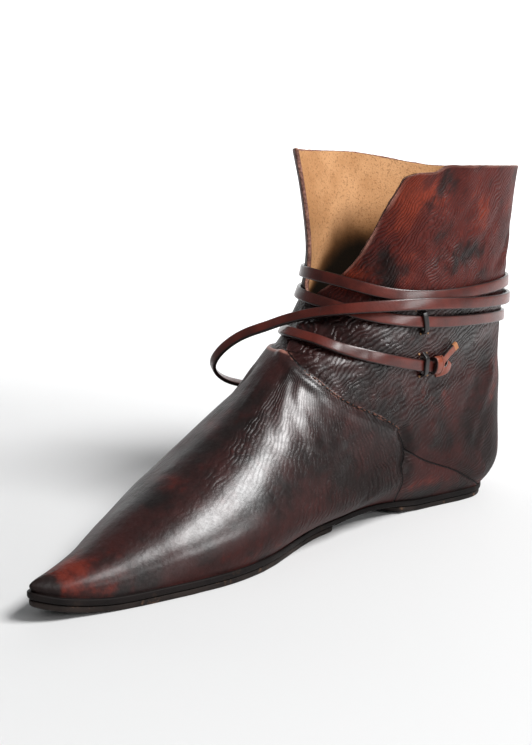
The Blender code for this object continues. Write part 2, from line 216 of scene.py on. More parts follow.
# pale cut edges of the leather at the throat, and their pale colour painted down the inner flap's edge as
# painted light
RAW_THROAT_ANGLES = (0.0, 0.14)
RAW_THROAT_WIDTH = 0.9 * MM
RAW_AND_LIT_FLAP_ANGLES = (0.012, 0.050)
RAW_AND_LIT_FLAP_HEIGHTS = (108 * MM, 116 * MM)
# what stands for the insert's distance (mm) where the insert isn't near
FAR_FROM_INSERT = 20

# the inside: share of the relief that shows there, and drop of its edge below the rim
LINING_RELIEF = 0.6
LINING_DROP = 0.3 * MM
# painted shade that blackens it lower down: height over the origin, rise backwards, top, and most shade
SHADE_HEIGHT = 126 * MM
SHADE_SLOPE = 0.42
SHADE_TOP = 118 * MM
SHADE_MOST = 1.3
# height over which the painted shade fades: least and most, growth backwards, and where that starts
SHADE_FADE = (13 * MM, 38 * MM)
SHADE_FADE_SLOPE = 0.9
SHADE_FADE_FROM = -60 * MM

FOREPART_START = 114 * MM
HEEL_LAYER_END = 84 * MM
LAYER_INSET = 0.7 * MM
LAYER_CORNER = 9 * MM

THONG_WIDTH = 5.6 * MM
THONG_THICK = 1.9 * MM
THONG_CLEAR = 0.5 * MM
# how far the wrapped thong's face is turned up, as a slope
THONG_TILT = 0.10
# the thong's turns: whole turns behind it, angle, height (mm), layers of thong under it
THONG = np.array([
    (0, 1.585, 75.0, 0.3),
    (0, 1.46, 76.4, 0),
    (0, 1.20, 79.7, 0),
    (0, 0.54, 87.1, 0.1),
    (0, 0.26, 89.2, 0.8),
    (0, -0.15, 91.0, 0.8),
    (0, -0.50, 92.0, 0),
    (0, -1.60, 90.5, 0),
    (0, -2.80, 91.5, 0),
    (1, 2.44, 94.0, 0),
    (1, 1.70, 96.4, 0),
    (1, 1.13, 98.0, 0),
    (1, 0.57, 101.5, 0),
    (1, 0.00, 106.6, 0),
    (1, -0.60, 109.0, 0),
    (1, -1.60, 108.5, 0),
    (1, -2.80, 110.5, 0),
    (2, 2.38, 112.4, 0),
    (2, 1.56, 110.4, 0),
    (2, 1.12, 109.6, 0),
    (2, 0.72, 111.2, 0),
    (2, 0.29, 115.4, 0),
    (2, -0.08, 118.2, 0),
    (2, -0.60, 119.0, 0),
    (2, -1.40, 117.0, 0.3),
    (2, -2.20, 111.5, 1),
    (2, -3.00, 105.0, 1),
    (3, 2.60, 103.4, 0.6),
    (3, 2.10, 104.2, 1),
    (3, 1.59, 105.2, 1),
    (3, 1.13, 106.2, 1),
    (3, 0.76, 105.6, 1),
    (3, 0.37, 103.4, 1),
    (3, 0.00, 100.0, 0.8),
    (3, -0.24, 97.6, 0.5),
]) * (1, 1, MM, 1)
# loops cut in the upper for the thong: angle, height of the thong there (mm)
LOOPS = ((1.445, 76.6 * MM), (1.13, 97.8 * MM))
LOOP_WIDTH = 2.6 * MM
LOOP_THICK = 1.2 * MM
LOOP_CLEAR = 0.1 * MM
LOOP_RISE = THONG_THICK + THONG_CLEAR + LOOP_CLEAR + LOOP_THICK / 2
# raw ends of a loop's slits, measured from the ends of the loop
SLIT_END_ANGLE = 0.034
SLIT_END_HEIGHT = 1.2 * MM
SLIT_END_OUT = 0.35 * MM
SLIT_END_RADIUS = 0.62 * MM
# angle that a loop leans back for each metre of height
LOOP_LEAN = 12.5
# side view of a loop: height from the thong's middle (mm), share of the loop's full rise
LOOP_PROFILE = np.array([
    (-6.8, -0.5),
    (-5.6, 0.15),
    (-4.5, 0.72),
    (-3.3, 1.0),
    (0.0, 1.03),
    (3.3, 1.0),
    (4.5, 0.72),
    (5.6, 0.15),
    (6.8, -0.5),
]) * (MM, 1)
# loose end over the outer slope of the vamp: x, y, z (mm); its first point lies beside the turns,
# and here the loose end comes straight out of the turns to its second point
FREE_END = np.array([
    (-94.8, 17.2, 95.4),
    (-97.0, 23.5, 94.2),
    (-100.0, 30.5, 91.4),
    (-103.0, 37.0, 88.0),
    (-106.0, 43.0, 83.2),
    (-108.0, 47.8, 77.5),
    (-107.2, 50.2, 72.3),
    (-103.2, 50.0, 67.6),
    (-97.5, 48.4, 64.4),
    (-90.0, 46.8, 62.1),
    (-81.0, 45.6, 59.5),
]) * MM
# samples of the wrapped path, the one at which the loose end leaves it, and its straight way on
THONG_SAMPLES = 900
LEAVES_TURNS = 885
LEAD = 31 * MM
KNOT_ANGLE = 1.552
KNOT_HEIGHT = 76.2 * MM
KNOT_OUT = 2.8 * MM
KNOT_HALF_HEIGHT = 3.3 * MM
KNOT_HALF_DEPTH = 1.5 * MM
KNOT_THICK = 2.4 * MM
# wraps of the knot: shift along the thong, width, growth, slant (mm)
KNOT_WRAPS = np.array([
    (-0.6, 4.6, 0.0, 0.2),
    (1.9, 1.3, 0.25, -0.2),
]) * MM
TAIL_WIDTH = 4.4 * MM
TAIL_THICK = 1.7 * MM
# cut tails of the knot: angle, height (mm), distance outside the upper (mm)
UPPER_TAIL = np.array([
    (1.585, 76.0, 2.2),
    (1.592, 79.2, 2.3),
    (1.602, 81.8, 2.3),
    (1.622, 85.2, 2.5),
]) * (1, MM, MM)
LOWER_TAIL = np.array([
    (1.600, 72.0, 2.2),
    (1.638, 72.7, 3.2),
    (1.664, 74.1, 3.3),
    (1.668, 76.4, 2.2),
]) * (1, MM, MM)

# side seam between vamp and quarter, and the upper edge of the heel insert: height (mm), angle
SIDE_SEAM = np.array([
    (5, 2.02),
    (12, 1.92),
    (25, 1.775),
    (32.3, 1.75),
    (40, 1.68),
    (46.4, 1.59),
    (57.4, 1.29),
    (66.5, 0.95),
    (76.4, 0.53),
    (83.8, 0.04),
]) * (MM, 1)
INSERT_SEAM = np.array([
    (5, 2.62),
    (8, 2.49),
    (16.6, 2.22),
    (24.2, 2.01),
    (29.4, 1.86),
    (35, 1.735),
]) * (MM, 1)

# stitches: samples of the seam's line between which they show, how many, and their half lengths
STITCHED_SAMPLES = (140, 252)
STITCHES = 24
STITCH_HALF = 0.75 * MM
STITCH_CHANGE = 0.35 * MM
THREAD_RADIUS = 0.26 * MM

# troughs (below zero) and ridges: rise (mm), half width (mm), points (angle, height in mm)
CREASES = (
    (-2.6, 3.8, ((1.56, 50), (1.66, 42), (1.735, 33), (1.77, 22))),
    (1.0, 5.5, ((1.78, 47), (1.86, 40), (1.90, 35))),
    (-0.9, 2.6, ((1.78, 33), (1.95, 26.5), (2.12, 20.5), (2.42, 10.5))),
    (1.2, 5.0, ((1.98, 31), (2.15, 26), (2.34, 18), (2.52, 12))),
    (0.9, 3.2, ((2.15, 44), (2.18, 38), (2.17, 33))),
    (0.6, 2.6, ((2.26, 38), (2.29, 32), (2.27, 27))),
    (0.9, 3.6, ((2.30, 72), (2.26, 62), (2.22, 52), (2.24, 44))),
    (-0.7, 3.6, ((2.12, 66), (2.08, 56), (2.04, 48))),
    (-0.3, 2.2, ((0.14, 81), (0.30, 70), (0.55, 57), (0.80, 45))),
    (0.25, 2.2, ((0.20, 80.5), (0.42, 69), (0.70, 55), (0.94, 42))),
    (-0.25, 2.0, ((0.28, 79), (0.55, 67), (0.83, 54), (1.06, 40))),
    (0.2, 2.0, ((0.36, 77.5), (0.64, 66), (0.92, 53), (1.14, 40))),
    (-0.2, 2.0, ((0.46, 75.5), (0.74, 64), (1.00, 52), (1.22, 38))),
    (-0.25, 2.0, ((0.06, 80), (0.10, 70), (0.24, 60), (0.42, 50))),
    (0.2, 2.0, ((-0.02, 79), (0.02, 70), (0.12, 61), (0.26, 52))),
    (-1.3, 6.5, ((1.30, 36), (1.45, 29), (1.60, 21), (1.72, 15))),
    (-0.6, 2.4, ((1.20, 47), (1.36, 39), (1.48, 30))),
    (0.5, 2.4, ((1.10, 43), (1.26, 34), (1.38, 25))),
    (0.45, 1.7, ((0.40, 88.5), (0.54, 92.5), (0.66, 97))),
    (0.45, 1.7, ((0.60, 86.5), (0.77, 91), (0.92, 96))),
    (0.45, 1.7, ((0.77, 85), (0.95, 89.5), (1.12, 94))),
    (0.45, 1.7, ((0.93, 83.5), (1.12, 88), (1.30, 92))),
    (0.40, 1.7, ((1.10, 82.5), (1.28, 87), (1.46, 91))),
    (0.40, 1.8, ((0.60, 79), (0.79, 80.8), (0.98, 80.6))),
    (0.40, 1.8, ((0.84, 72.5), (1.02, 75.5), (1.22, 76.5))),
    (0.35, 1.8, ((1.04, 67), (1.22, 70.5), (1.42, 72.5))),
    (0.35, 2.0, ((1.24, 62), (1.45, 65.5), (1.68, 67.5))),
    (0.35, 2.2, ((1.62, 60), (1.84, 64), (2.08, 66))),
    (0.40, 2.2, ((1.72, 86), (1.94, 89), (2.18, 90))),
    (-0.40, 2.2, ((1.80, 80), (2.04, 83), (2.30, 84))),
    (-3.0, 6.5, ((1.18, 178), (1.19, 168), (1.22, 156), (1.26, 140))),
    (1.6, 5.5, ((1.40, 178), (1.40, 166), (1.42, 152), (1.44, 134))),
    (2.4, 8.0, ((0.88, 178), (0.88, 168), (0.86, 157), (0.82, 140))),
    (-0.8, 3.4, ((1.05, 126), (1.20, 134), (1.36, 144), (1.50, 155))),
    (0.7, 3.4, ((0.92, 128), (1.08, 138), (1.22, 148))),
    (-0.7, 3.2, ((1.36, 122), (1.56, 130), (1.76, 140), (1.92, 152))),
    (0.7, 3.4, ((1.20, 121), (1.42, 130), (1.62, 141))),
    (-0.6, 3.0, ((0.46, 122), (0.62, 130), (0.74, 140))),
    (-0.7, 3.2, ((1.80, 118), (2.05, 126), (2.25, 138))),
    (0.6, 3.0, ((1.98, 118), (2.20, 127), (2.40, 140))),
    (-1.0, 3.0, ((-0.30, 80), (-0.50, 68), (-0.75, 56), (-1.00, 44))),
    (0.6, 2.6, ((-0.42, 79), (-0.66, 66), (-0.92, 53))),
    (-0.7, 2.6, ((-0.80, 82), (-1.10, 72), (-1.40, 64), (-1.75, 58))),
    (0.6, 2.4, ((-0.90, 86), (-1.25, 78), (-1.60, 72), (-1.95, 68))),
    (-0.7, 2.4, ((-1.05, 98), (-1.40, 99), (-1.80, 98.5), (-2.20, 100))),
    (-0.8, 3.4, ((-1.05, 126), (-1.25, 138), (-1.40, 150))),
    (0.7, 3.4, ((-1.40, 124), (-1.62, 136), (-1.80, 150))),
    (-0.8, 3.2, ((-1.80, 122), (-2.05, 132), (-2.25, 144))),
    (1.0, 4.0, ((-2.10, 46), (-2.24, 38), (-2.30, 28))),
    (-0.9, 3.0, ((-1.95, 30), (-2.20, 22), (-2.45, 14))),
)
# shares of a fold's length over which it rises and fades
CREASE_ENDS = ((0, 0.22), (0.78, 1))
# a fold that starts above this height (mm) runs out over the rim, and fades only downwards
RIM_FOLDS = 175
RIM_FOLD_END = (0.15, 1)

# share of the finishes that the outer side repeats
OUTER_SIDE_SHARE = 0.8
# places on the inner side that are rubbed to red: angle, height (mm), reach (mm), amount
RUBBED = (
    (0.84, 163, 11, 1.6), (0.82, 153, 9, 1.1), (0.74, 141, 9, 0.7), (1.12, 155.4, 7, 0.7),
    (1.68, 147, 13, 0.8), (1.50, 150, 10, 0.5), (0.22, 119.2, 8, 1.4), (0.32, 124, 7, 1.0),
    (0.81, 122, 7, 0.5), (0.95, 130, 8, 0.6), (1.09, 120.7, 6, 0.4), (0.12, 15, 11, 0.45),
    (0.26, 15, 12, 0.45), (0.50, 9, 10, 0.4), (0.70, 8, 9, 0.4), (1.20, 9, 8, 0.6),
    (1.32, 11, 8, 0.6), (1.45, 9, 8, 0.4), (0.18, 41, 9, 0.5), (0.02, 60, 8, 0.3),
    (2.02, 18, 9, 0.5), (2.25, 12, 8, 0.5), (1.94, 14, 8, 0.5), (2.33, 69, 9, 0.6),
    (2.33, 54, 8, 0.7), (1.82, 56, 8, 0.5), (1.66, 59.6, 7, 0.4), (0.79, 42, 8, 0.4),
    (2.12, 153, 9, 0.6), (1.48, 160, 8, 0.4),
)
# places darkened to near black, in the same columns
DARK_PATCHES = (
    (0.53, 124, 11, 0.9), (0.72, 118.5, 11, 0.8), (1.02, 153, 8, 0.6), (1.40, 132, 13, 0.6),
    (1.33, 122, 11, 0.6), (1.62, 130, 11, 0.5), (0.20, 100, 8, 0.5), (1.39, 30, 14, 0.8),
    (1.64, 20, 13, 0.9), (1.69, 38, 8, 1.3), (1.72, 30, 7, 1.0), (2.50, 14, 10, 0.9),
    (2.42, 30, 9, 0.6), (0.05, 50, 14, 0.6), (-0.08, 66, 12, 0.6), (1.20, 160, 8, 0.6),
    (1.16, 166, 6, 0.5), (-0.06, 36, 14, 0.6), (1.63, 50, 8, 0.6), (1.08, 49, 9, 0.3),
    (0.05, 7, 7, 0.8), (-0.3, 8, 7, 0.5), (0.30, 7, 5, 0.7), (0.80, 7, 6, 0.6),
    (1.10, 18, 10, 0.5), (0.75, 14, 9, 0.4), (2.30, 134, 12, 0.4), (2.20, 46, 14, 0.9),
    (2.38, 26, 12, 0.9), (2.02, 72, 14, 0.6), (2.60, 50, 14, 0.8), (2.75, 28, 12, 0.8),
)


def spline(x, xs, ys):
    """Natural cubic spline through a short table."""
    count = len(xs)
    step = np.diff(xs)
    matrix = np.eye(count)
    right = np.zeros(count)
    for i in range(1, count - 1):
        matrix[i, i - 1:i + 2] = step[i - 1], 2 * (step[i - 1] + step[i]), step[i]
        right[i] = 6 * ((ys[i + 1] - ys[i]) / step[i] - (ys[i] - ys[i - 1]) / step[i - 1])
    bend = np.linalg.solve(matrix, right)
    x = np.clip(x, xs[0], xs[-1])
    i = np.clip(np.searchsorted(xs, x) - 1, 0, count - 2)
    a = (xs[i + 1] - x) / step[i]
    b = 1 - a
    curve = (a ** 3 - a) * bend[i] + (b ** 3 - b) * bend[i + 1]
    return a * ys[i] + b * ys[i + 1] + curve * step[i] ** 2 / 6


def smooth_run(table, steps):
    """Smooth run through the rows of a short table."""
    places = np.arange(len(table), dtype=float)
    fine = np.linspace(0, places[-1], steps)
    return np.stack([spline(fine, places, table[:, column]) for column in range(table.shape[1])], 1)


def ease(x, low, high):
    """Smooth rise from 0 at the low value to 1 at the high one."""
    u = np.clip((x - low) / (high - low), 0, 1)
    return u * u * (3 - 2 * u)


def between(x, rise, fall):
    """Smooth rise over one stretch and fall over a later one."""
    return ease(x, *rise) * (1 - ease(x, *fall))


def hump(distance, width):
    """1 at no distance, fading over a width to both sides."""
    return np.exp(-(distance / width) ** 2)


def unit(vectors):
    """Vectors brought to length 1."""
    return vectors / np.linalg.norm(vectors, axis=-1, keepdims=True)


def back_line(z):
    return spline(z, PROFILE[:, 0], PROFILE[:, 1])


def front_line(z):
    return spline(z, PROFILE[:, 0], PROFILE[:, 2])


RIDGE_Z = np.linspace(10 * MM, 112 * MM, 300)
RIDGE_S = front_line(RIDGE_Z)
RISE_BEHIND_THROAT = 4


def ridge_height(s):
    """Height of the vamp's ridge over a station; far above the foot behind the throat."""
    behind = np.clip(RIDGE_S[-1] - s, 0, None)
    return np.interp(s, RIDGE_S[::-1], RIDGE_Z[::-1]) + RISE_BEHIND_THROAT * behind


def end_round(distance, radius):
    """Share of the full width near a rounded end."""
    return np.sqrt(1 - (1 - np.clip(distance / radius, 0, 1)) ** 2)


def toe_share(s, start):
    """Rise from 0 at a station to 1 at the sole's tip, and a little on past it."""
    return np.clip((s - start) / (LENGTH - start), 0, 1.05) ** 2


def side_shift(s):
    """Sideways run of the foot's middle line, towards the inner side at the toe."""
    return -TIP_SHIFT * toe_share(s, TIP_SHIFT_START)


def lift(s):
    """Rise of the sole over the floor: toe spring and the arch of the waist."""
    waist = np.clip(1 - ((s - WAIST_AT) / WAIST_SPAN) ** 2, 0, 1) ** 2
    return TOE_SPRING * toe_share(s, SPRING_START) + WAIST_RISE * waist


def plan(s, column):
    return spline(s, PLAN[:, 0], PLAN[:, column])


def upper_point(t, z):
    """Outer face of the upper: t runs from the front (0) over the inner side to the back (pi) and on."""
    t = np.asarray(t, float)
    z = np.asarray(z, float)
    front = front_line(z)
    back = back_line(z)
    s = front - (front - back) * (1 - np.cos(t)) / 2
    inner = np.sin(t) >= 0
    sole = np.where(inner, plan(s, 1), plan(s, 2))
    upper = np.where(inner, plan(s, 3), plan(s, 4))
    tuck = 1 - np.clip(1 - (z - FEATHER) / TUCK_HEIGHT, 0, 1) ** 2
    ends = end_round(s - back, HEEL_RADIUS + HEEL_SWELL * tuck)
    ends = ends * end_round(front - s, TOE_RADIUS) ** (1 - ease(z, TOE_BOX_LOW, TOE_BOX_HIGH))
    crown = np.clip(1 - (z / np.maximum(ridge_height(s), z)) ** VAMP_ROUNDNESS, 0, 1) ** 0.5
    foot = (sole - FEATHER_INSET + (upper - sole + FEATHER_INSET) * tuck) * ends * crown
    girth = np.where(inner, spline(z, SHAFT[:, 0], SHAFT[:, 1]), spline(z, SHAFT[:, 0], SHAFT[:, 2]))
    shaft = girth * np.abs(np.sin(t)) ** SHAFT_ROUNDNESS
    blend = ease(z, ANKLE_START, ANKLE_END)
    half = foot * (1 - blend) + shaft * blend
    y = np.where(inner, -half, half) + side_shift(s) * (1 - blend)
    rise = lift(s) * np.clip(1 - (z - FEATHER) / LIFT_FADE, 0, 1)
    return np.stack([HEEL_SETBACK - s, y, z + rise], -1)


def upper_normal(t, z):
    """Outward normal of the upper's outer face."""
    small_angle = 0.004
    small_height = 0.2 * MM
    along = upper_point(t + small_angle, z) - upper_point(t - small_angle, z)
    up = upper_point(t, z + small_height) - upper_point(t, z - small_height)
    normal = np.cross(along, up)
    return normal / np.maximum(np.linalg.norm(normal, axis=-1, keepdims=True), 1e-12)


def on_upper(t, z, out):
    """Point at a distance outside the upper's outer face."""
    return upper_point(t, z) + upper_normal(t, z) * np.expand_dims(out, -1)


def collar_rise(t):
    """Height of the rim over the collar height: the outer flap stands higher, the inner corner is rounded."""
    return OUTER_RIM_RISE * ease(t, *OUTER_RIM_ANGLES) - CORNER_DROP * (1 - ease(t, *CORNER_ANGLES))


def uneven(points, scale, seed):
    """Smooth unevenness from -1 to 1 at each point, with waves of about 1 / scale metres."""
    shift = Vector((seed * 7.3, seed * 3.1, seed * 5.7))
    return np.array([noise.noise(Vector(point) * scale + shift) for point in points.reshape(-1, 3)])


def wrapped(t):
    """Angle brought to the range from -pi to pi."""
    return (t + math.pi) % (2 * math.pi) - math.pi


def nearest(points, line):
    """Distance from each point to a line of points, and where along it the nearest one is."""
    distance = np.full(len(points), np.inf)
    share = np.zeros(len(points))
    for k, place in enumerate(line):
        gap = ((points - place) ** 2).sum(1)
        closer = gap < distance
        distance[closer] = gap[closer]
        share[closer] = k / (len(line) - 1)
    return np.sqrt(distance), share


def crease_rise(points):
    """Rise of the listed creases at each point of the upper."""
    rise = np.zeros(len(points))
    for height, width, path in CREASES:
        run = smooth_run(np.array(path) * (1, MM), 40)
        line = upper_point(run[:, 0], run[:, 1])
        reach = 3 * width * MM
        near = ((points > line.min(0) - reach) & (points < line.max(0) + reach)).all(1)
        distance, share = nearest(points[near], line)
        if path[0][1] < RIM_FOLDS:
            fade = between(share, *CREASE_ENDS)
        else:
            fade = 1 - ease(share, *RIM_FOLD_END)
        rise[near] += height * MM * hump(distance, width * MM) * fade
    return rise


def patches(points, table):
    """Amount of a finish at each point, from a short table of places."""
    amount = np.zeros(len(points))
    for t, z, reach, strength in table:
        for side, share in ((1, 1.0), (-1, OUTER_SIDE_SHARE)):
            centre = upper_point(side * t, z * MM)
            distance = np.linalg.norm(points - centre, axis=1)
            amount += strength * share * hump(distance, reach * MM)
    return amount


def thong_path(steps):
    """Middle line of the wrapped thong and the upper's normals along it."""
    angle = THONG[:, 1] - 2 * math.pi * THONG[:, 0]
    order = -angle
    at = np.linspace(order[0], order[-1], steps)
    z = spline(at, order, THONG[:, 2])
    layers = np.clip(np.interp(at, order, THONG[:, 3]), 0, 1)
    out = THONG_CLEAR + THONG_THICK / 2 + layers * (THONG_THICK + GAP)
    return on_upper(-at, z, out), upper_normal(-at, z)


class Signal:
    """Value in a shader that Python's operators can work on."""

    def __init__(self, finish, socket):
        self.finish = finish
        self.socket = socket

    def __add__(self, other):
        return self.finish.maths("ADD", self, other)

    __radd__ = __add__

    def __mul__(self, other):
        return self.finish.maths("MULTIPLY", self, other)

    __rmul__ = __mul__

    def __sub__(self, other):
        return self.finish.maths("SUBTRACT", self, other)

    def __rsub__(self, other):
        return self.finish.maths("SUBTRACT", other, self)

    def __truediv__(self, other):
        return self.finish.maths("DIVIDE", self, other)

    def __abs__(self):
        return self.finish.maths("ABSOLUTE", self)


class Finish:
    """One material and the nodes that make its look."""

    def __init__(self, name):
        self.material = bpy.data.materials.new(name)
        self.material.use_nodes = True
        self.nodes = self.material.node_tree.nodes
        self.links = self.material.node_tree.links
        self.shader = self.nodes["Principled BSDF"]

    def feed(self, socket, value):
        if isinstance(value, Signal):
            self.links.new(value.socket, socket)
        else:
            socket.default_value = value

    def node(self, kind, settings, sockets, result=0):
        made = self.nodes.new(kind)
        for name, value in settings.items():
            setattr(made, name, value)
        for name, value in sockets.items():
            self.feed(made.inputs[name], value)
        return Signal(self, made.outputs[result])

    def maths(self, operation, *values):
        return self.node("ShaderNodeMath", {"operation": operation}, dict(enumerate(values)))

    def place(self):
        return self.node("ShaderNodeTexCoord", {}, {}, "Object")

    def measure(self, name):
        return self.node("ShaderNodeAttribute", {"attribute_name": name}, {}, "Fac")

    def along(self, vector, direction):
        sockets = {0: vector, 1: direction}
        return self.node("ShaderNodeVectorMath", {"operation": "DOT_PRODUCT"}, sockets, "Value")

    def vector(self, x, y, z):
        return self.node("ShaderNodeCombineXYZ", {}, {0: x, 1: y, 2: z})

    def cloud(self, vector, scale, detail=2.0, rough=0.5):
        sockets = {"Vector": vector, "Scale": scale, "Detail": detail, "Roughness": rough}
        return self.node("ShaderNodeTexNoise", {}, sockets)

    def step(self, value, low, high):
        sockets = {"Value": value, "From Min": low, "From Max": high}
        return self.node("ShaderNodeMapRange", {"interpolation_type": "SMOOTHSTEP"}, sockets)

    def blend(self, share, first, second):
        colours = [value if isinstance(value, Signal) else (*value, 1) for value in (first, second)]
        return self.node("ShaderNodeMix", {"data_type": "RGBA"}, {0: share, 6: colours[0], 7: colours[1]}, 2)

    def shade(self, colour, roughness, height=None, **more):
        """Sets the shader: height is in millimetres."""
        self.feed(self.shader.inputs["Base Color"], colour)
        self.feed(self.shader.inputs["Roughness"], roughness)
        if height is not None:
            bump = self.node("ShaderNodeBump", {}, {"Distance": MM, "Height": height}, "Normal")
            self.feed(self.shader.inputs["Normal"], bump)
        for name, value in more.items():
            self.feed(self.shader.inputs[name.replace("_", " ")], value)
        return self.material


NEAR_BLACK = (0.0085, 0.0048, 0.0044)
PLUM = (0.036, 0.0095, 0.0085)
OXBLOOD = (0.085, 0.0120, 0.0085)
RUST = (0.200, 0.0270, 0.0115)
RAW_EDGE = (0.34, 0.150, 0.115)
SEAM_BLACK = (0.004, 0.0025, 0.0025)
FIBRE_DARK = (0.140, 0.060, 0.046)
FIBRE_PALE = (0.44, 0.225, 0.165)
FIBRE_STAIN = (0.070, 0.028, 0.028)
SUEDE_SHADE = (0.48, 0.240, 0.104)
SUEDE_TAN = (0.66, 0.36, 0.175)
SUEDE_SPECK = (0.15, 0.066, 0.025)
SUEDE_NAP = (0.68, 0.41, 0.22)
# painted shade and painted shadow that darken the suede lower down
SUEDE_PAINTED_SHADE = (0.16, 0.065, 0.022)
SUEDE_PAINTED_SHADOW = (0.006, 0.0035, 0.0015)
THONG_DARK = (0.050, 0.0085, 0.0060)
THONG_LIGHT = (0.118, 0.0175, 0.0105)
THONG_EDGE = (0.014, 0.0055, 0.0050)
KNOT_DARK = (0.150, 0.0270, 0.0120)
KNOT_LIGHT = (0.270, 0.0600, 0.0270)
OUTSOLE_DARK = (0.0045, 0.0035, 0.0035)
OUTSOLE_LIGHT = (0.0110, 0.0080, 0.0075)
TREAD_DARK = (0.0095, 0.0075, 0.0070)
TREAD_LIGHT = (0.0260, 0.0190, 0.0165)
SCUFFED_SOLE = (0.15, 0.085, 0.052)
LOOP_BLACK = (0.012, 0.009, 0.009)
SLIT_RAW = (0.36, 0.19, 0.09)
THREAD_RUST = (0.11, 0.034, 0.015)
THONG_CUT = (0.42, 0.17, 0.07)
PAPER = (0.78, 0.78, 0.78)


def folds(finish, across, spacing, warp):
    """Rounded folds, one to each spacing: 0 in the sharp valleys, 1 on the folds."""
    return abs(finish.maths("SINE", (across / spacing + warp) * math.pi))


# straight folds: direction across them, spacing in metres, how far they sway, how far they jitter
SHAFT_FOLDS = ((-0.76, 0.30, 0.64), 0.00155, 8.0, 2.2)
QUARTER_FOLDS = ((-0.50, 0.20, 0.84), 0.00225, 5.5, 1.9)
# folds that fan out from the throat: height of their centre, distances between which they double
FAN_HEIGHT = 94 * MM
FAN_DOUBLES = (0.024, 0.034)
# angle from fold to fold, near the centre and further out
FAN_SPACINGS = (0.052, 0.026)
# distances (mm) between which a seam's groove ends
GROOVE_EDGE = (0.12, 0.62)


def fold_lines(finish, place, shaft, vamp, quarter):
    """Wrinkles of the upper, which run their own way on each part: 0 in the valleys, 1 on the folds."""
    sway = finish.cloud(place, 42.0, 2.0) - 0.5
    jitter = finish.cloud(place, 170.0, 3.0) - 0.5
    shaft_folds, quarter_folds = (
        folds(finish, finish.along(place, across), spacing, swayed * sway + jittered * jitter)
        for across, spacing, swayed, jittered in (SHAFT_FOLDS, QUARTER_FOLDS)
    )
    centre = tuple(upper_point(0.0, FAN_HEIGHT))
    from_throat = finish.node("ShaderNodeVectorMath", {"operation": "SUBTRACT"}, {0: place, 1: centre})
    toeward = finish.along(from_throat, (-0.80, 0.0, -0.60))
    downward = finish.along(from_throat, (0.35, 0.0, -0.94)) + 0.6 * abs(finish.along(place, (0, 1, 0)))
    fan_angle = finish.maths("ARCTAN2", downward, toeward)
    from_fan = finish.maths("SQRT", toeward * toeward + downward * downward)
    fan_warp = 3.5 * sway + 1.6 * jitter
    near_folds, far_folds = (folds(finish, fan_angle, spacing, fan_warp) for spacing in FAN_SPACINGS)
    far = finish.step(from_fan, *FAN_DOUBLES)
    broken = 0.35 + 0.65 * finish.step(finish.cloud(place, 260.0, 2.0), 0.36, 0.58)
    vamp_folds = broken * ((1 - far) * near_folds + far * far_folds)
    return shaft * shaft_folds + vamp * vamp_folds + quarter * quarter_folds * quarter_folds


def mottled_colour(finish, tone, mottle, shaft):
    """Near black to plum leather, rubbed through to red and darkened to near black in places."""
    rubbed = finish.measure("rubbed")
    colour = finish.blend(finish.step(tone, 0.36, 0.62), NEAR_BLACK, PLUM)
    redness = 0.7 * rubbed + 0.62 * shaft + 1.8 * (mottle - 0.5)
    colour = finish.blend(finish.step(redness, 0.10, 0.95), colour, OXBLOOD)
    bright = (0.45 + 0.55 * shaft) * finish.step(0.8 * rubbed + 2.6 * (mottle - 0.5), 0.40, 1.30)
    colour = finish.blend(bright, colour, RUST)
    # places darkened to near black from the table of dark patches, with random tone
    darkness = 0.75 * finish.measure("dark_patches") + 0.9 * (tone - 0.5) - 2.0 * (mottle - 0.5)
    return finish.blend(0.92 * finish.step(darkness, 0.15, 0.95), colour, NEAR_BLACK)


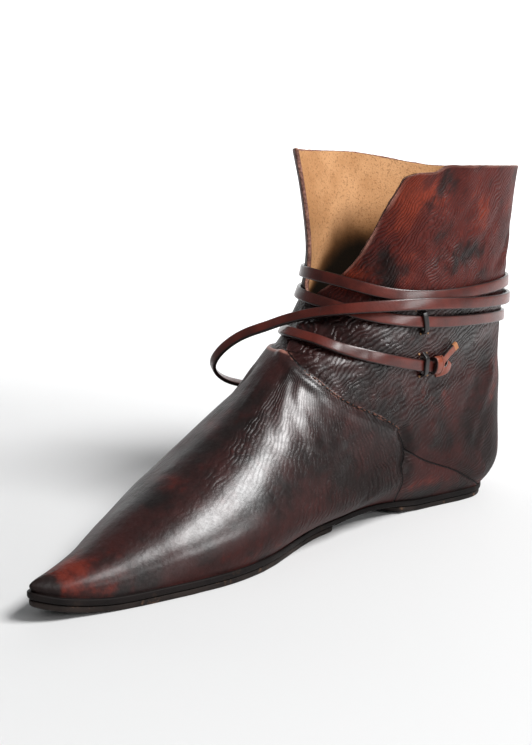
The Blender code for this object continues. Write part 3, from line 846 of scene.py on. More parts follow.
def upper_leather():
    """Burnished dark leather with wrinkles, seams and places rubbed to red."""
    finish = Finish("burnished_upper_leather")
    place = finish.place()
    shaft = finish.measure("shaft")
    vamp = finish.measure("vamp")
    quarter = 1 - shaft - vamp
    amount = finish.measure("wrinkle")
    lines = fold_lines(finish, place, shaft, vamp, quarter)

    tone = finish.cloud(place, 34.0, 4.0, 0.6)
    stretched = [finish.along(place, way) for way in ((48, 0, 70), (-110, 60, 75), (0, 60, 0))]
    drawn_out = finish.cloud(finish.vector(*stretched), 1.0, 4.0, 0.6)
    blotch = finish.cloud(place, 95.0, 4.0, 0.62)
    mottle = shaft * drawn_out + (1 - shaft) * blotch
    colour = mottled_colour(finish, tone, mottle, shaft)
    # painted shade in the wrinkles' valleys
    colour = finish.blend((0.55 - 0.25 * quarter) * amount * (1 - lines), colour, NEAR_BLACK)
    seam = abs(finish.measure("seam"))
    raw = (1 - finish.step(seam, 0.45, 1.1)) * finish.step(blotch, 0.48, 0.58) * finish.measure("stitched")
    colour = finish.blend(0.6 * raw, colour, RAW_EDGE)
    # pale raw colour on the skin: the cut edge's own colour at the throat, painted light down the inner flap
    # and along the rim
    colour = finish.blend(0.85 * finish.measure("raw_and_lit_edge"), colour, RAW_EDGE)
    groove = 1 - finish.step(seam, *GROOVE_EDGE)
    joint = 1 - finish.step(abs(finish.measure("insert")), *GROOVE_EDGE)
    colour = finish.blend(finish.maths("MAXIMUM", groove, joint), colour, SEAM_BLACK)

    grain = finish.cloud(place, 720.0, 3.0, 0.65)
    swell = finish.cloud(place, 150.0, 2.0)
    pebble = finish.cloud(place, 340.0, 2.0)
    patchy = 0.20 + 0.80 * finish.step(finish.cloud(place, 90.0, 4.0, 0.6), 0.36, 0.60)
    wrinkles = amount * patchy * (0.40 * shaft + 0.52 * vamp + 0.60 * quarter) * lines
    height = wrinkles + 0.16 * grain + (0.12 + 0.10 * vamp) * pebble + 0.40 * swell - 0.7 * (groove + joint)
    polish = finish.measure("polish") * (0.55 + 0.45 * (1 - shaft))
    roughness = 0.56 - (0.22 + 0.10 * quarter) * polish + 0.30 * (tone - 0.5) + 0.15 * (grain - 0.5)
    fine_gloss = finish.step(0.6 * grain + 0.4 * swell + 0.5 * amount * (lines - 0.5), 0.30, 0.70)
    gloss = polish * (vamp * (0.62 + 0.55 * fine_gloss) + quarter * (0.10 + 0.76 * amount * lines))
    return finish.shade(
        colour, roughness, height, Coat_Weight=gloss, Coat_Roughness=0.29, Specular_IOR_Level=0.17
    )


def cut_edge():
    """Raw cut edge of the upper's leather."""
    finish = Finish("cut_leather_edge")
    place = finish.place()
    fibre = finish.cloud(place, 900.0, 3.0, 0.65)
    tone = finish.cloud(place, 110.0, 2.0)
    colour = finish.blend(finish.step(fibre, 0.35, 0.68), FIBRE_DARK, FIBRE_PALE)
    colour = finish.blend(0.7 * finish.step(tone, 0.45, 0.68), colour, FIBRE_STAIN)
    return finish.shade(colour, 0.85, 0.35 * fibre, Specular_IOR_Level=0.2)


def suede():
    """Tan flesh side of the leather, blackened lower down by painted shade."""
    finish = Finish("tan_suede_inside")
    place = finish.place()
    painted_shade = finish.measure("painted_shade")
    nap = finish.cloud(place, 1500.0, 2.0, 0.7)
    speck = finish.cloud(place, 900.0, 3.0, 0.6)
    tone = finish.cloud(place, 28.0, 4.0, 0.6)
    colour = finish.blend(finish.step(tone, 0.32, 0.68), SUEDE_SHADE, SUEDE_TAN)
    colour = finish.blend(0.50 * finish.step(speck, 0.52, 0.66), colour, SUEDE_SPECK)
    colour = finish.blend(0.30 * finish.step(nap, 0.52, 0.70), colour, SUEDE_NAP)
    # painted shade, then painted shadow, lower down inside
    colour = finish.blend(finish.step(painted_shade + 0.5 * (tone - 0.5), 0.08, 0.72), colour, SUEDE_PAINTED_SHADE)
    colour = finish.blend(finish.step(painted_shade + 0.4 * (tone - 0.5), 0.32, 0.85), colour, SUEDE_PAINTED_SHADOW)
    return finish.shade(colour, 0.95, 0.26 * nap + 0.20 * speck, Specular_IOR_Level=0.08)


def thong_leather(name, dark, light):
    """Red brown strap leather, darker at its edges."""
    finish = Finish(name)
    place = finish.place()
    across = abs(finish.measure("across"))
    tone = finish.cloud(place, 60.0, 3.0, 0.6)
    pores = finish.cloud(place, 1000.0, 3.0, 0.65)
    colour = finish.blend(finish.step(tone, 0.3, 0.7), dark, light)
    colour = finish.blend(finish.step(across, 0.74, 0.98), colour, THONG_EDGE)
    roughness = 0.46 + 0.2 * (tone - 0.5)
    return finish.shade(
        colour, roughness, 0.14 * pores, Coat_Weight=0.58, Coat_Roughness=0.22, Specular_IOR_Level=0.24
    )


def sole_leather(name, dark, light, wear_share):
    """Waxed sole leather, worn lighter in places along its edge."""
    finish = Finish(name)
    place = finish.place()
    tone = finish.cloud(place, 45.0, 4.0, 0.6)
    wear = finish.cloud(place, 130.0, 4.0, 0.65)
    ply = [finish.along(place, way) for way in ((60, 0, 0), (0, 60, 0), (0, 0, 900))]
    layers = finish.cloud(finish.vector(*ply), 1.0, 2.0)
    colour = finish.blend(finish.step(tone, 0.35, 0.65), dark, light)
    colour = finish.blend(wear_share * finish.step(wear, 0.60, 0.74), colour, SCUFFED_SOLE)
    roughness = 0.60 + 0.2 * (wear - 0.5)
    return finish.shade(colour, roughness, 0.16 * layers + 0.14 * wear, Specular_IOR_Level=0.12)


def plain(name, colour, roughness):
    return Finish(name).shade((*colour, 1), roughness)


def add(name, points, faces, *materials):
    """Object from points and faces, shaded smooth."""
    mesh = bpy.data.meshes.new(name)
    mesh.from_pydata([tuple(point) for point in points], [], [tuple(face) for face in faces])
    mesh.shade_smooth()
    for material in materials:
        mesh.materials.append(material)
    made = bpy.data.objects.new(name, mesh)
    bpy.context.scene.collection.objects.link(made)
    return made


def join(name, made):
    """Makes one object of several."""
    with bpy.context.temp_override(active_object=made[0], selected_editable_objects=made):
        bpy.ops.object.join()
    made[0].name = name
    return made[0]


def note(made, name, values):
    """Stores one number for each point of a mesh, for its finish to read."""
    stored = made.data.attributes.new(name, "FLOAT", "POINT")
    stored.data.foreach_set("value", np.ascontiguousarray(values, np.float32))


def belongs(made, slot, *nodes):
    """Hands a piece to the shoe's one body, in place of the solids that it stands for; its slot is not used.
    """
    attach(made, "root")
    if nodes:
        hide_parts(*nodes)
    return made


def quads(index):
    """Faces of a grid of point numbers."""
    corners = (index[:-1, :-1], index[:-1, 1:], index[1:, 1:], index[1:, :-1])
    return np.stack(corners, -1).reshape(-1, 4)


def ring_faces(index):
    """Faces of a grid of point numbers whose rows are closed rings."""
    return [tuple(face) for face in quads(np.concatenate([index, index[:, :1]], 1))]


BALL_ROWS = 6


def ball(corners):
    """Points and faces of a ball of radius 1, from its foot to its crown."""
    rise = np.linspace(0, math.pi, BALL_ROWS + 1)[1:-1, None]
    turn = math.pi / 2 + 2 * math.pi * np.arange(corners) / corners
    out = np.sin(rise)
    rings = np.stack(np.broadcast_arrays(out * np.cos(turn), out * np.sin(turn), -np.cos(rise)), -1)
    points = np.concatenate([[(0, 0, -1)], rings.reshape(-1, 3), [(0, 0, 1)]])
    crown = len(points) - 1
    index = np.arange(1, crown).reshape(BALL_ROWS - 1, corners)
    faces = ring_faces(index)
    for here, after in zip(index[0], np.roll(index[0], -1)):
        faces.append((0, after, here))
    for here, after in zip(index[-1], np.roll(index[-1], -1)):
        faces.append((crown, here, after))
    return points, faces


# heights of the upper's rows (mm): closer at the feather, at the throat and at the rim
BELOW_THROAT = np.concatenate([
    np.linspace(5.0, 9, 8)[:-1],
    np.linspace(9, 20, 13)[:-1],
    np.linspace(20, 82.6, 66),
])
THROAT_ROWS = np.array((83.3, 83.9, 84.1))
ABOVE_THROAT = np.concatenate([(84.15, 84.6), np.linspace(85.4, 166.4, 86)])
RIM_ROWS = COLLAR_HEIGHT / MM - np.array((2.4, 1.7, 1.0, 0.4, 0.0))
LEVELS = np.concatenate([BELOW_THROAT, THROAT_ROWS, ABOVE_THROAT, RIM_ROWS]) * MM
CLOSED_ROWS = len(BELOW_THROAT) + len(THROAT_ROWS)
TOP_ROW = len(LEVELS) - 1
COLUMNS = 440
# the columns are spread evenly above these heights, and bend to the outer flap's edge late below them
EVEN_COLUMNS = (104 * MM, 125 * MM)
LATE_COLUMNS = (0.88, 1)


class UpperGrid:
    """Points of the upper's outer face, row by row, from the inner flap's edge to the outer flap's."""

    def __init__(self):
        level = LEVELS[:, None]
        self.open_row = (np.arange(len(LEVELS)) >= CLOSED_ROWS)[:, None]
        share = np.linspace(0, 1, COLUMNS + 1)[None, :]
        first = spline(np.maximum(level, THROAT_HEIGHT), *INNER_FLAP_EDGE.T)
        last = spline(level, *OUTER_FLAP_EDGE.T)
        even = ease(level, *EVEN_COLUMNS)
        late = (1 - even) * ease(share, *LATE_COLUMNS) + even * share
        self.t = first + 2 * math.pi * share + np.where(self.open_row, last - first, 0) * late
        self.z = level + collar_rise(self.t) * ease(level, COLLAR_START, COLLAR_HEIGHT)
        self.angle = wrapped(self.t)
        self.from_inner = self.t - first
        self.from_outer = (last + 2 * math.pi) - self.t
        self.place = upper_point(self.t, self.z)
        self.normal = upper_normal(self.t, self.z)
        self.flat = self.place.reshape(-1, 3)
        self.seam_gap, self.seam_line = self.behind_seam(SIDE_SEAM, 260)
        self.insert_gap, _ = self.behind_seam(INSERT_SEAM, 120)

    def behind_seam(self, seam, steps):
        """Distance of each point behind a seam, below zero ahead of it, and the seam's line."""
        heights = np.linspace(seam[0, 0], seam[-1, 0], steps)
        line = upper_point(spline(heights, *seam.T), heights)
        gap, _ = nearest(self.flat, line)
        behind = wrapped(self.t - spline(self.z, *seam.T))
        return gap * np.sign(behind).ravel(), line


def throat_share(grid):
    """How far each point belongs to the edge of the vamp that lies over the flaps."""
    rise = ease(grid.z, THROAT_HEIGHT - THROAT_FALL, THROAT_HEIGHT)
    return rise * between(grid.angle, *THROAT_ANGLES)


def laps(grid):
    """How far the leather is lifted or sunk where the vamp laps the flaps and one flap the other."""
    lap_share = between(grid.z, *LAP_HEIGHTS)
    over = lap_share * (1 - ease(grid.from_inner, 0, LAP_WIDTH))
    under = (1 - lap_share) * (1 - ease(grid.from_outer, *UNDERLAP_ANGLES))
    under = under * between(grid.z, *UNDERLAP_HEIGHTS)
    step = np.full((len(LEVELS), 1), LAP_STEP)
    step[CLOSED_ROWS - 2:CLOSED_ROWS, 0] -= THROAT_ROUNDING
    return np.where(grid.open_row, LAP_STEP * (over - under), step * throat_share(grid))


def relief(grid):
    """Rise of creases, seams, swells and the rolled corner over the plain form of the upper."""
    height = grid.flat[:, 2]
    rise = crease_rise(grid.flat)
    for swell, waves, seed in SWELLS:
        rise += swell * uneven(grid.flat, waves, seed)
    rise -= SEAM_DEPTH * hump(grid.seam_gap, GROOVE_WIDTH)
    lip = hump(grid.seam_gap + LIP_OFFSET, LIP_WIDTH) * ease(height, *STITCHED_HEIGHTS)
    rise += LIP_HEIGHT * lip * (height < SEAM_TOP)
    rise -= INSERT_DEPTH * hump(grid.insert_gap, GROOVE_WIDTH)
    turns, _ = thong_path(700)
    thong_gap, _ = nearest(grid.flat, turns)
    pressed = hump(thong_gap, PRESSED_WIDTH)
    ankle = between(grid.z, *ANKLE_HEIGHTS).ravel()
    rise = rise * (1 - PRESSED_SHARE * pressed) + ANKLE_SWELL * ankle * (1 - pressed)
    rise = rise.reshape(grid.z.shape) * ease(grid.z, *FEATHER_FADE)
    rolled = ease(grid.z, COLLAR_HEIGHT - ROLL_DEPTH, COLLAR_HEIGHT + ROLL_DEPTH)
    return rise + CORNER_ROLL * between(grid.angle, *ROLL_ANGLES) * rolled


def cut_rim(grid, points, index):
    """Points and faces of the cut edge along the slit and the rim, and how many points its border has."""
    border = [(row, 0) for row in range(CLOSED_ROWS, TOP_ROW)]
    border += [(TOP_ROW, column) for column in range(COLUMNS)]
    border += [(row, COLUMNS) for row in range(TOP_ROW, CLOSED_ROWS - 1, -1)]
    rows, columns = np.array(border).T
    edge = points[rows, columns]
    within = points[np.minimum(rows, TOP_ROW - 1), np.clip(columns, 1, COLUMNS - 1)]
    ragged = 1 + sum(amount * uneven(edge, waves, seed) for amount, waves, seed in EDGE_RAGGED)
    away = unit(edge - within) * ragged[:, None]
    facing = grid.normal[rows, columns]
    rings = [edge + away * past - facing * deep for past, deep in EDGE_PROFILE]
    numbers = index.size + np.arange(len(rings) * len(border)).reshape(len(rings), -1)
    faces = quads(np.concatenate([index[rows, columns][None], numbers]))[:, ::-1]
    return np.concatenate(rings), faces, len(border)


def wrinkle_amount(grid, shaft, vamp):
    """How strong the fine wrinkles are at each point."""
    side = np.abs(grid.angle)
    on_shaft = 0.75 * (1 - 0.4 * ease(grid.z, *CALM_RIM))
    on_quarter = (0.40 + 0.60 * ease(grid.z, *QUARTER_WRINKLES)) * (1 - 0.45 * ease(side, *CALM_HEEL))
    behind = shaft * on_shaft + (1 - shaft) * on_quarter
    by_the_seam = 1.1 * ease(side, *SEAM_WRINKLES) * ease(grid.z, *CALM_FEATHER)
    on_vamp = 0.12 + 0.75 * np.maximum(ease(grid.z, *VAMP_WRINKLES), by_the_seam)
    on_vamp = on_vamp * (0.15 + 0.85 * ease(side, *CALM_RIDGE))
    return behind.ravel() * (1 - vamp) + on_vamp.ravel() * vamp


def polish_amount(grid):
    """How polished the leather is: most over the vamp's inner side, dull at toe, heel and outer side."""
    side = np.abs(grid.angle)
    x = grid.place[..., 0]
    up_the_side = grid.z / np.minimum(ridge_height(HEEL_SETBACK - x), POLISH_TOP)
    up_the_side = up_the_side - 0.24 * ease(side, *DULL_SEAM)
    polish = ease(up_the_side, *POLISH_RISE) * (1 - 0.9 * ease(side, *DULL_HEEL))
    return polish * (1 - 0.8 * ease(-grid.angle, *DULL_OUTER_SIDE)) * ease(x - x.min(), *DULL_TOE)


def raw_and_lit_edges(grid):
    """Where the leather's pale cut edge shows at the throat, and where its colour is painted on the skin down
    the inner flap and along the rim as painted light.
    """
    at_throat = throat_share(grid) * (1 - ease(grid.angle, *RAW_THROAT_ANGLES))
    at_throat = at_throat * (grid.z > THROAT_HEIGHT - RAW_THROAT_WIDTH) * ~grid.open_row
    flap = 0.9 * (1 - ease(grid.from_inner, *RAW_AND_LIT_FLAP_ANGLES)) * ease(grid.z, *RAW_AND_LIT_FLAP_HEIGHTS)
    rim = 0.6 * (np.arange(len(LEVELS)) >= TOP_ROW - 1)[:, None]
    broken_up = np.clip(0.7 + 1.2 * uneven(grid.place, 120, 4), 0, 1)
    return np.maximum(at_throat.ravel(), np.maximum(flap, rim).ravel() * broken_up)


def finish_values(grid):
    """Numbers that the upper's finish reads at each point."""
    z = grid.z.ravel()
    shaft = ease(grid.z, *SHAFT_FINISH)
    vamp = (1 - ease(grid.seam_gap, *VAMP_FINISH)) * (z < SEAM_TOP)
    by_the_insert = (z < INSERT_TOP) & (grid.seam_gap > VAMP_FINISH[0])
    return {
        "seam": grid.seam_gap / MM,
        "stitched": ease(z, *STITCHED_HEIGHTS),
        "insert": np.where(by_the_insert, grid.insert_gap / MM, FAR_FROM_INSERT),
        "rubbed": patches(grid.flat, RUBBED),
        "dark_patches": patches(grid.flat, DARK_PATCHES),
        "shaft": shaft.ravel(),
        "vamp": vamp,
        "wrinkle": wrinkle_amount(grid, shaft, vamp),
        "polish": polish_amount(grid).ravel(),
        "raw_and_lit_edge": raw_and_lit_edges(grid),
    }


def closed_index(shape):
    """Point numbers of a grid whose rows below the slit are closed at the front."""
    index = np.arange(shape[0] * shape[1]).reshape(shape)
    index[:CLOSED_ROWS, -1] = index[:CLOSED_ROWS, 0]
    return index


def build_upper(grid):
    """Outer skin of the upper with its laps, creases and cut edges, and the suede inside it."""
    out = laps(grid)
    rise = relief(grid)
    points = grid.place + grid.normal * (out + rise)[..., None]
    index = closed_index(points.shape[:2])
    skin = quads(index)
    rim_points, rim, border = cut_rim(grid, points, index)
    all_points = np.concatenate([points.reshape(-1, 3), rim_points])
    made = add("upper", all_points, np.concatenate([skin, rim]), upper_leather(), cut_edge())
    slots = np.zeros(len(skin) + len(rim), np.int32)
    slots[len(skin) + border - 1:] = 1
    made.data.polygons.foreach_set("material_index", slots)
    for name, values in finish_values(grid).items():
        note(made, name, np.concatenate([values, np.zeros(len(rim_points))]))
    belongs(made, "upper_leather", "upper")
    build_lining(grid, out, rise)


def build_lining(grid, out, rise):
    """Suede inside the upper, one wall in from its outer face, with every second column."""
    inward = np.where(grid.open_row, out, np.minimum(out, 0)) + LINING_RELIEF * rise - WALL
    inside = (grid.place + grid.normal * inward[..., None])[:, ::2]
    inside[-1] -= (0, 0, LINING_DROP)
    faces = quads(closed_index(inside.shape[:2]))[:, ::-1]
    made = add("upper_inside", inside.reshape(-1, 3), faces, suede())
    x = grid.place[..., 0]
    # painted shade inside, below a line that rises towards the back
    shade_from = np.where(grid.angle < 0, np.minimum(SHADE_HEIGHT + SHADE_SLOPE * x, SHADE_TOP), SHADE_TOP)
    shade_fade = np.clip(SHADE_FADE[0] + SHADE_FADE_SLOPE * (x - SHADE_FADE_FROM), *SHADE_FADE)
    painted_shade = np.clip(1 - (grid.z - shade_from) / shade_fade, 0, SHADE_MOST)
    note(made, "painted_shade", painted_shade[:, ::2].ravel())
    belongs(made, "upper_leather")


# section of a strip: corners round it, how square its sides and faces are, how far the faces bulge
STRIP_CORNERS = 20
STRIP_SIDE = 0.30
STRIP_FACE = 0.40
STRIP_BULGE = 0.06
END_ROW = 0.03


def with_end_rows(rows):
    """The same run with a row added close to each end, so that the cut ends shade crisp."""
    near_start = (1 - END_ROW) * rows[:1] + END_ROW * rows[1:2]
    near_end = (1 - END_ROW) * rows[-1:] + END_ROW * rows[-2:-1]
    return np.concatenate([rows[:1], near_start, rows[1:-1], near_end, rows[-1:]])


def strip(name, middle, normal, width, thick, *materials):
    """Flat leather strip along a path, with rounded edges and cut ends."""
    middle, normal = with_end_rows(middle), with_end_rows(normal)
    forward = unit(np.gradient(middle, axis=0))
    normal = unit(normal - forward * (normal * forward).sum(1, keepdims=True))
    side = np.cross(forward, normal)
    turn = np.linspace(0, 2 * math.pi, STRIP_CORNERS, endpoint=False) + math.pi / STRIP_CORNERS
    across = np.sign(np.cos(turn)) * np.abs(np.cos(turn)) ** STRIP_SIDE
    raised = np.sign(np.sin(turn)) * np.abs(np.sin(turn)) ** STRIP_FACE
    raised = raised * (1 + STRIP_BULGE * (1 - across ** 2))
    ring = (
        middle[:, None]
        + side[:, None] * across[None, :, None] * width / 2
        + normal[:, None] * raised[None, :, None] * thick / 2
    )
    index = np.arange(len(middle) * STRIP_CORNERS).reshape(len(middle), STRIP_CORNERS)
    faces = ring_faces(index)
    faces.append(tuple(index[0][::-1]))
    faces.append(tuple(index[-1]))
    made = add(name, ring.reshape(-1, 3), faces, *materials)
    note(made, "across", np.tile(across, len(middle)))
    return made


def thong_loops():
    """Dark bars of the upper's leather that hold the thong, with the raw ends of their slits."""
    dark = plain("dark_loop_leather", LOOP_BLACK, 0.34)
    raw = plain("raw_slit_end", SLIT_RAW, 0.85)
    profile = smooth_run(LOOP_PROFILE, 40)
    points, faces = ball(10)
    for number, (t, z) in enumerate(LOOPS, 1):
        height = z + profile[:, 0]
        angle = t - LOOP_LEAN * (height - z)
        middle = on_upper(angle, height, profile[:, 1] * LOOP_RISE)
        rise = np.gradient(middle, axis=0)
        normal = np.cross(rise, np.cross(upper_normal(angle, height), rise))
        pieces = [strip(f"thong_loop_{number}", middle, normal, LOOP_WIDTH, LOOP_THICK, dark)]
        for end, inward in ((0, SLIT_END_HEIGHT), (-1, -SLIT_END_HEIGHT)):
            for lean in (-SLIT_END_ANGLE, SLIT_END_ANGLE):
                spot = on_upper(angle[end] + lean, height[end] + inward, SLIT_END_OUT)
                pieces.append(add("slit_end", spot + SLIT_END_RADIUS * points, faces, raw))
        belongs(join(f"thong_loop_{number}", pieces), "upper_leather")


def seam_stitches(seam_line):
    """Waxed thread that shows in the side seam."""
    thread = plain("rust_thread", THREAD_RUST, 0.7)
    stitch, stitch_faces = ball(8)
    points, faces = [], []
    for count, place in enumerate(np.linspace(*STITCHED_SAMPLES, STITCHES).astype(int)):
        here = seam_line[place]
        ahead = Vector(seam_line[min(place + 2, len(seam_line) - 1)] - here).normalized()
        turned = np.array(ahead.to_track_quat("Z", "Y").to_matrix())
        half_length = STITCH_HALF + STITCH_CHANGE * math.sin(count * 2.4)
        faces.extend(np.array(face) + len(points) for face in stitch_faces)
        points.extend(here + (stitch * (THREAD_RADIUS, THREAD_RADIUS, half_length)) @ turned.T)
    belongs(add("seam_stitches", points, faces, thread), "upper_leather")


# worn edge of a sole layer: corners round the layer, rounding below and above, depth of the wear
SOLE_CORNERS = 360
LOWER_ROUND = 0.9 * MM
UPPER_ROUND = 0.6 * LOWER_ROUND
SOLE_WEAR = 0.3 * MM
SOLE_WEAR_WAVES = 110
SOLE_LEAST_HALF = 1 * MM
# how far in from the edge the rows of the flat faces lie
UNDERSIDE_ROW = 3 * MM
TOP_ROWS = (6 * MM, 12 * MM)


def sole_edge(low, high):
    """Rows of a sole layer from its underside to its top: distance in from the edge, and height."""
    bend = np.linspace(0, math.pi / 2, 5)
    lower = [(LOWER_ROUND * (1 - math.sin(a)), low + LOWER_ROUND * (1 - math.cos(a))) for a in bend]
    upper = [(UPPER_ROUND * (1 - math.cos(a)), high - UPPER_ROUND * (1 - math.sin(a))) for a in bend]
    return [(UNDERSIDE_ROW, low), *lower, *upper, *((row, high) for row in TOP_ROWS)]


def sole_piece(name, start, end, start_radius, end_radius, inset, low, high, finish):
    """Layer of the sole with a worn, rounded edge."""
    t = 2 * math.pi * np.arange(SOLE_CORNERS) / SOLE_CORNERS
    inner = np.sin(t) >= 0
    rows = []
    for inward, z in sole_edge(low, high):
        first = start + inward
        last = end - inward
        s = last - (last - first) * (1 - np.cos(t)) / 2
        half = np.maximum(np.where(inner, plan(s, 1), plan(s, 2)) - inset - inward, SOLE_LEAST_HALF)
        half = half * end_round(s - first, start_radius) * end_round(last - s, end_radius)
        y = np.where(inner, -half, half) + side_shift(s)
        rows.append(np.stack([HEEL_SETBACK - s, y, z + lift(s)], -1))
    points = np.array(rows)
    wear = uneven(points, SOLE_WEAR_WAVES, 4).reshape(points.shape[:2])
    away = points - points.mean(1, keepdims=True)
    away[..., 2] = 0
    away /= np.maximum(np.linalg.norm(away, axis=2, keepdims=True), 1e-9)
    points = points + away * wear[..., None] * SOLE_WEAR
    index = np.arange(points[..., 0].size).reshape(points.shape[:2])
    faces = ring_faces(index)
    for row in (index[0], index[-1]):
        for k in range(SOLE_CORNERS // 2):
            ring = row[[k, k + 1, SOLE_CORNERS - k - 1, (SOLE_CORNERS - k) % SOLE_CORNERS]]
            corners = tuple(dict.fromkeys(int(corner) for corner in ring))
            faces.append(corners[::-1] if row[0] == 0 else corners)
    made = add(name, points.reshape(-1, 3), faces, finish)
    return belongs(made, "sole_leather", name)


def thong_knot(finish, cut):
    """Knot that stops the thong behind the lower loop: two wraps and two cut tails."""
    centre = on_upper(KNOT_ANGLE, KNOT_HEIGHT, KNOT_OUT)
    out = upper_normal(KNOT_ANGLE, KNOT_HEIGHT)
    small = 0.01
    along = unit(upper_point(KNOT_ANGLE + small, KNOT_HEIGHT) - upper_point(KNOT_ANGLE - small, KNOT_HEIGHT))
    up = np.cross(out, along)
    pieces = []
    turn = np.linspace(0, 2 * math.pi, 49)[:, None]
    for number, (shift, width, grow, slant) in enumerate(KNOT_WRAPS, 1):
        path = (
            centre
            + along * (shift + slant * np.sin(turn))
            + up * (KNOT_HALF_HEIGHT + grow) * np.cos(turn)
            + out * (KNOT_HALF_DEPTH + 0.5 * grow) * np.sin(turn)
        )
        facing = up * np.cos(turn) / KNOT_HALF_HEIGHT + out * np.sin(turn) / KNOT_HALF_DEPTH
        pieces.append(strip(f"knot_wrap_{number}", path, facing, width, KNOT_THICK, finish))
    for number, (table, raw_faces) in enumerate(((UPPER_TAIL, 4 * STRIP_CORNERS + 2), (LOWER_TAIL, 1)), 1):
        t, z, away = smooth_run(table, 24).T
        path = on_upper(t, z, away)
        tail = strip(f"knot_tail_{number}", path, upper_normal(t, z), TAIL_WIDTH, TAIL_THICK, finish, cut)
        # the last faces are raw: four rows and both ends of the upper tail, one end of the lower
        for face in list(tail.data.polygons)[-raw_faces:]:
            face.material_index = 1
        pieces.append(tail)
    return belongs(join("thong_knot", pieces), "thong_leather", "thong_knot")


def loose_run(middle):
    """Middle line of the loose end: straight on from the turns at first, then through its own points."""
    start = middle[-1]
    bend = start + unit(middle[-1] - middle[-2]) * LEAD / 2
    share = np.linspace(0, 0.75, 4)[:, None]
    lead = (1 - share) ** 2 * start + 2 * share * (1 - share) * bend + share ** 2 * FREE_END[1]
    return smooth_run(np.concatenate([lead, FREE_END[1:]]), 191)


def dress_thong():
    """The wrapped thong, its knot and its loose end."""
    finish = thong_leather("red_brown_thong", THONG_DARK, THONG_LIGHT)
    rubbed = thong_leather("rubbed_knot_leather", KNOT_DARK, KNOT_LIGHT)
    cut = plain("cut_thong_end", THONG_CUT, 0.8)
    middle, outward = thong_path(THONG_SAMPLES)
    middle, outward = middle[:LEAVES_TURNS], outward[:LEAVES_TURNS] + (0, 0, THONG_TILT)
    turns = strip("thong_wraps", middle, outward, THONG_WIDTH, THONG_THICK, finish)
    belongs(turns, "thong_leather", "thong_wraps")
    thong_knot(rubbed, cut)
    loose = loose_run(middle)
    carried = [outward[-1]]
    for direction in unit(np.gradient(loose, axis=0))[1:]:
        carried.append(unit(carried[-1] - direction * np.dot(carried[-1], direction)))
    made = strip("thong_end", loose, np.array(carried), THONG_WIDTH, THONG_THICK, finish)
    belongs(made, "thong_leather", "thong_end")


# the photo's camera: rows of the picture, focal length and horizon in rows, and its place in metres
PHOTO_ROWS = 745
FOCAL_ROWS = 1150
HORIZON_ROW = 166.8
SENSOR = 36
CAMERA_PLACE = (-0.4803, -0.3636, 0.1691)
CAMERA_YAW = math.radians(44.7)
FORWARD = np.array((math.sin(CAMERA_YAW), math.cos(CAMERA_YAW), 0))
RIGHT = np.array((math.cos(CAMERA_YAW), -math.sin(CAMERA_YAW), 0))
# the floor, in metres from the shoe along the camera's view: front edge, start and radius of the bend, top
FLOOR_FRONT = -3.0
FLOOR_BEND = 0.9
BEND_RADIUS = 0.5
BACKDROP_TOP = 0.95
FLOOR_HALF_WIDTH = 3.5


def pale_floor():
    """Pale floor with a curved back."""
    run = [(FLOOR_FRONT, 0.0), (FLOOR_BEND, 0.0)]
    for a in np.linspace(0, math.pi / 2, 24):
        run.append((FLOOR_BEND + BEND_RADIUS * math.sin(a), BEND_RADIUS - BEND_RADIUS * math.cos(a)))
    run.append((FLOOR_BEND + BEND_RADIUS, BACKDROP_TOP))
    points = []
    for distance, height in run:
        for side in (-FLOOR_HALF_WIDTH, FLOOR_HALF_WIDTH):
            points.append(FORWARD * distance + RIGHT * side + (0, 0, height))
    faces = [(2 * k, 2 * k + 1, 2 * k + 3, 2 * k + 2) for k in range(len(run) - 1)]
    floor = add("pale_floor", points, faces, plain("pale_paper", PAPER, 0.9))


def heading(azimuth, elevation):
    """Unit vector at an azimuth from +X and an elevation, in degrees."""
    a, e = math.radians(azimuth), math.radians(elevation)
    return Vector((math.cos(a) * math.cos(e), math.sin(a) * math.cos(e), math.sin(e)))


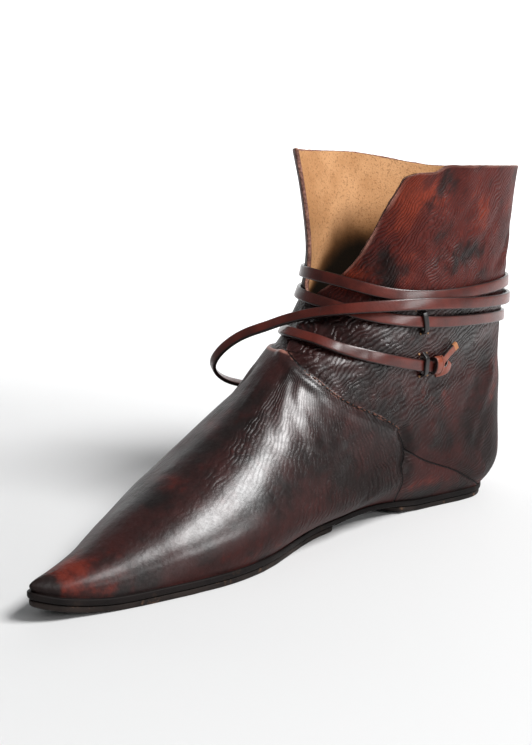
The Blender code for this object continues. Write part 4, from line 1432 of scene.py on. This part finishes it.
def soft_lights():
    """Soft room light, two softboxes on the shoe and a wash over the backdrop."""
    world = bpy.data.worlds.new("soft_room")
    world.use_nodes = True
    world.node_tree.nodes["Background"].inputs["Color"].default_value = (0.95, 0.98, 1.0, 1)
    world.node_tree.nodes["Background"].inputs["Strength"].default_value = 0.12
    bpy.context.scene.world = world

    shoe = Vector((-0.10, 0.0, 0.07))
    over_floor = Vector(tuple(FORWARD * 0.7 + (0, 0, 0.82)))
    backdrop = Vector(tuple(FORWARD * 1.3 + (0, 0, 0.2)))
    # name, place, target, size in metres, power in watts
    lights = (
        ("key_softbox", shoe + heading(-72, 50) * 2.0, shoe, (0.95, 0.75), 51),
        ("side_softbox", shoe + heading(-80, 17) * 1.8, shoe, (0.6, 0.4), 8),
        ("backdrop_wash", over_floor, backdrop, (1.3, 0.3), 12),
    )
    for name, place, target, size, power in lights:
        lamp = bpy.data.lights.new(name, "AREA")
        lamp.shape = "RECTANGLE"
        lamp.size, lamp.size_y = size
        lamp.energy = power
        light = bpy.data.objects.new(name, lamp)
        light.location = place
        light.rotation_euler = (place - target).to_track_quat("Z", "Y").to_euler()
        bpy.context.scene.collection.objects.link(light)
    bpy.context.scene.view_settings.view_transform = "Standard"


def photo_camera():
    """Camera that sees the shoe as the photo does."""
    lens = bpy.data.cameras.new("photo_camera")
    lens.sensor_width = SENSOR
    lens.lens = FOCAL_ROWS * SENSOR / PHOTO_ROWS
    camera = bpy.data.objects.new("photo_camera", lens)
    camera.location = CAMERA_PLACE
    down = math.atan((PHOTO_ROWS / 2 - HORIZON_ROW) / FOCAL_ROWS)
    camera.rotation_euler = (math.pi / 2 - down, 0, -CAMERA_YAW)
    bpy.context.scene.collection.objects.link(camera)
    bpy.context.scene.camera = camera


upper_grid = UpperGrid()
build_upper(upper_grid)
seam_stitches(upper_grid.seam_line)
thong_loops()
black_edge = sole_leather("blackened_outsole", OUTSOLE_DARK, OUTSOLE_LIGHT, 0.12)
worn_tread = sole_leather("worn_tread_leather", TREAD_DARK, TREAD_LIGHT, 0.75)
sole_piece("outsole", 0, LENGTH, HEEL_RADIUS, TOE_RADIUS, 0, TREAD_LAYER + GAP, SOLE_TOP, black_edge)
forepart = (FOREPART_START, LENGTH - LAYER_INSET, LAYER_CORNER, TOE_RADIUS)
sole_piece("forepart_layer", *forepart, LAYER_INSET, 0, TREAD_LAYER, worn_tread)
heel = (LAYER_INSET, HEEL_LAYER_END, HEEL_RADIUS, LAYER_CORNER)
sole_piece("heel_layer", *heel, LAYER_INSET, 0, TREAD_LAYER, worn_tread)
dress_thong()
pale_floor()
soft_lights()
photo_camera()
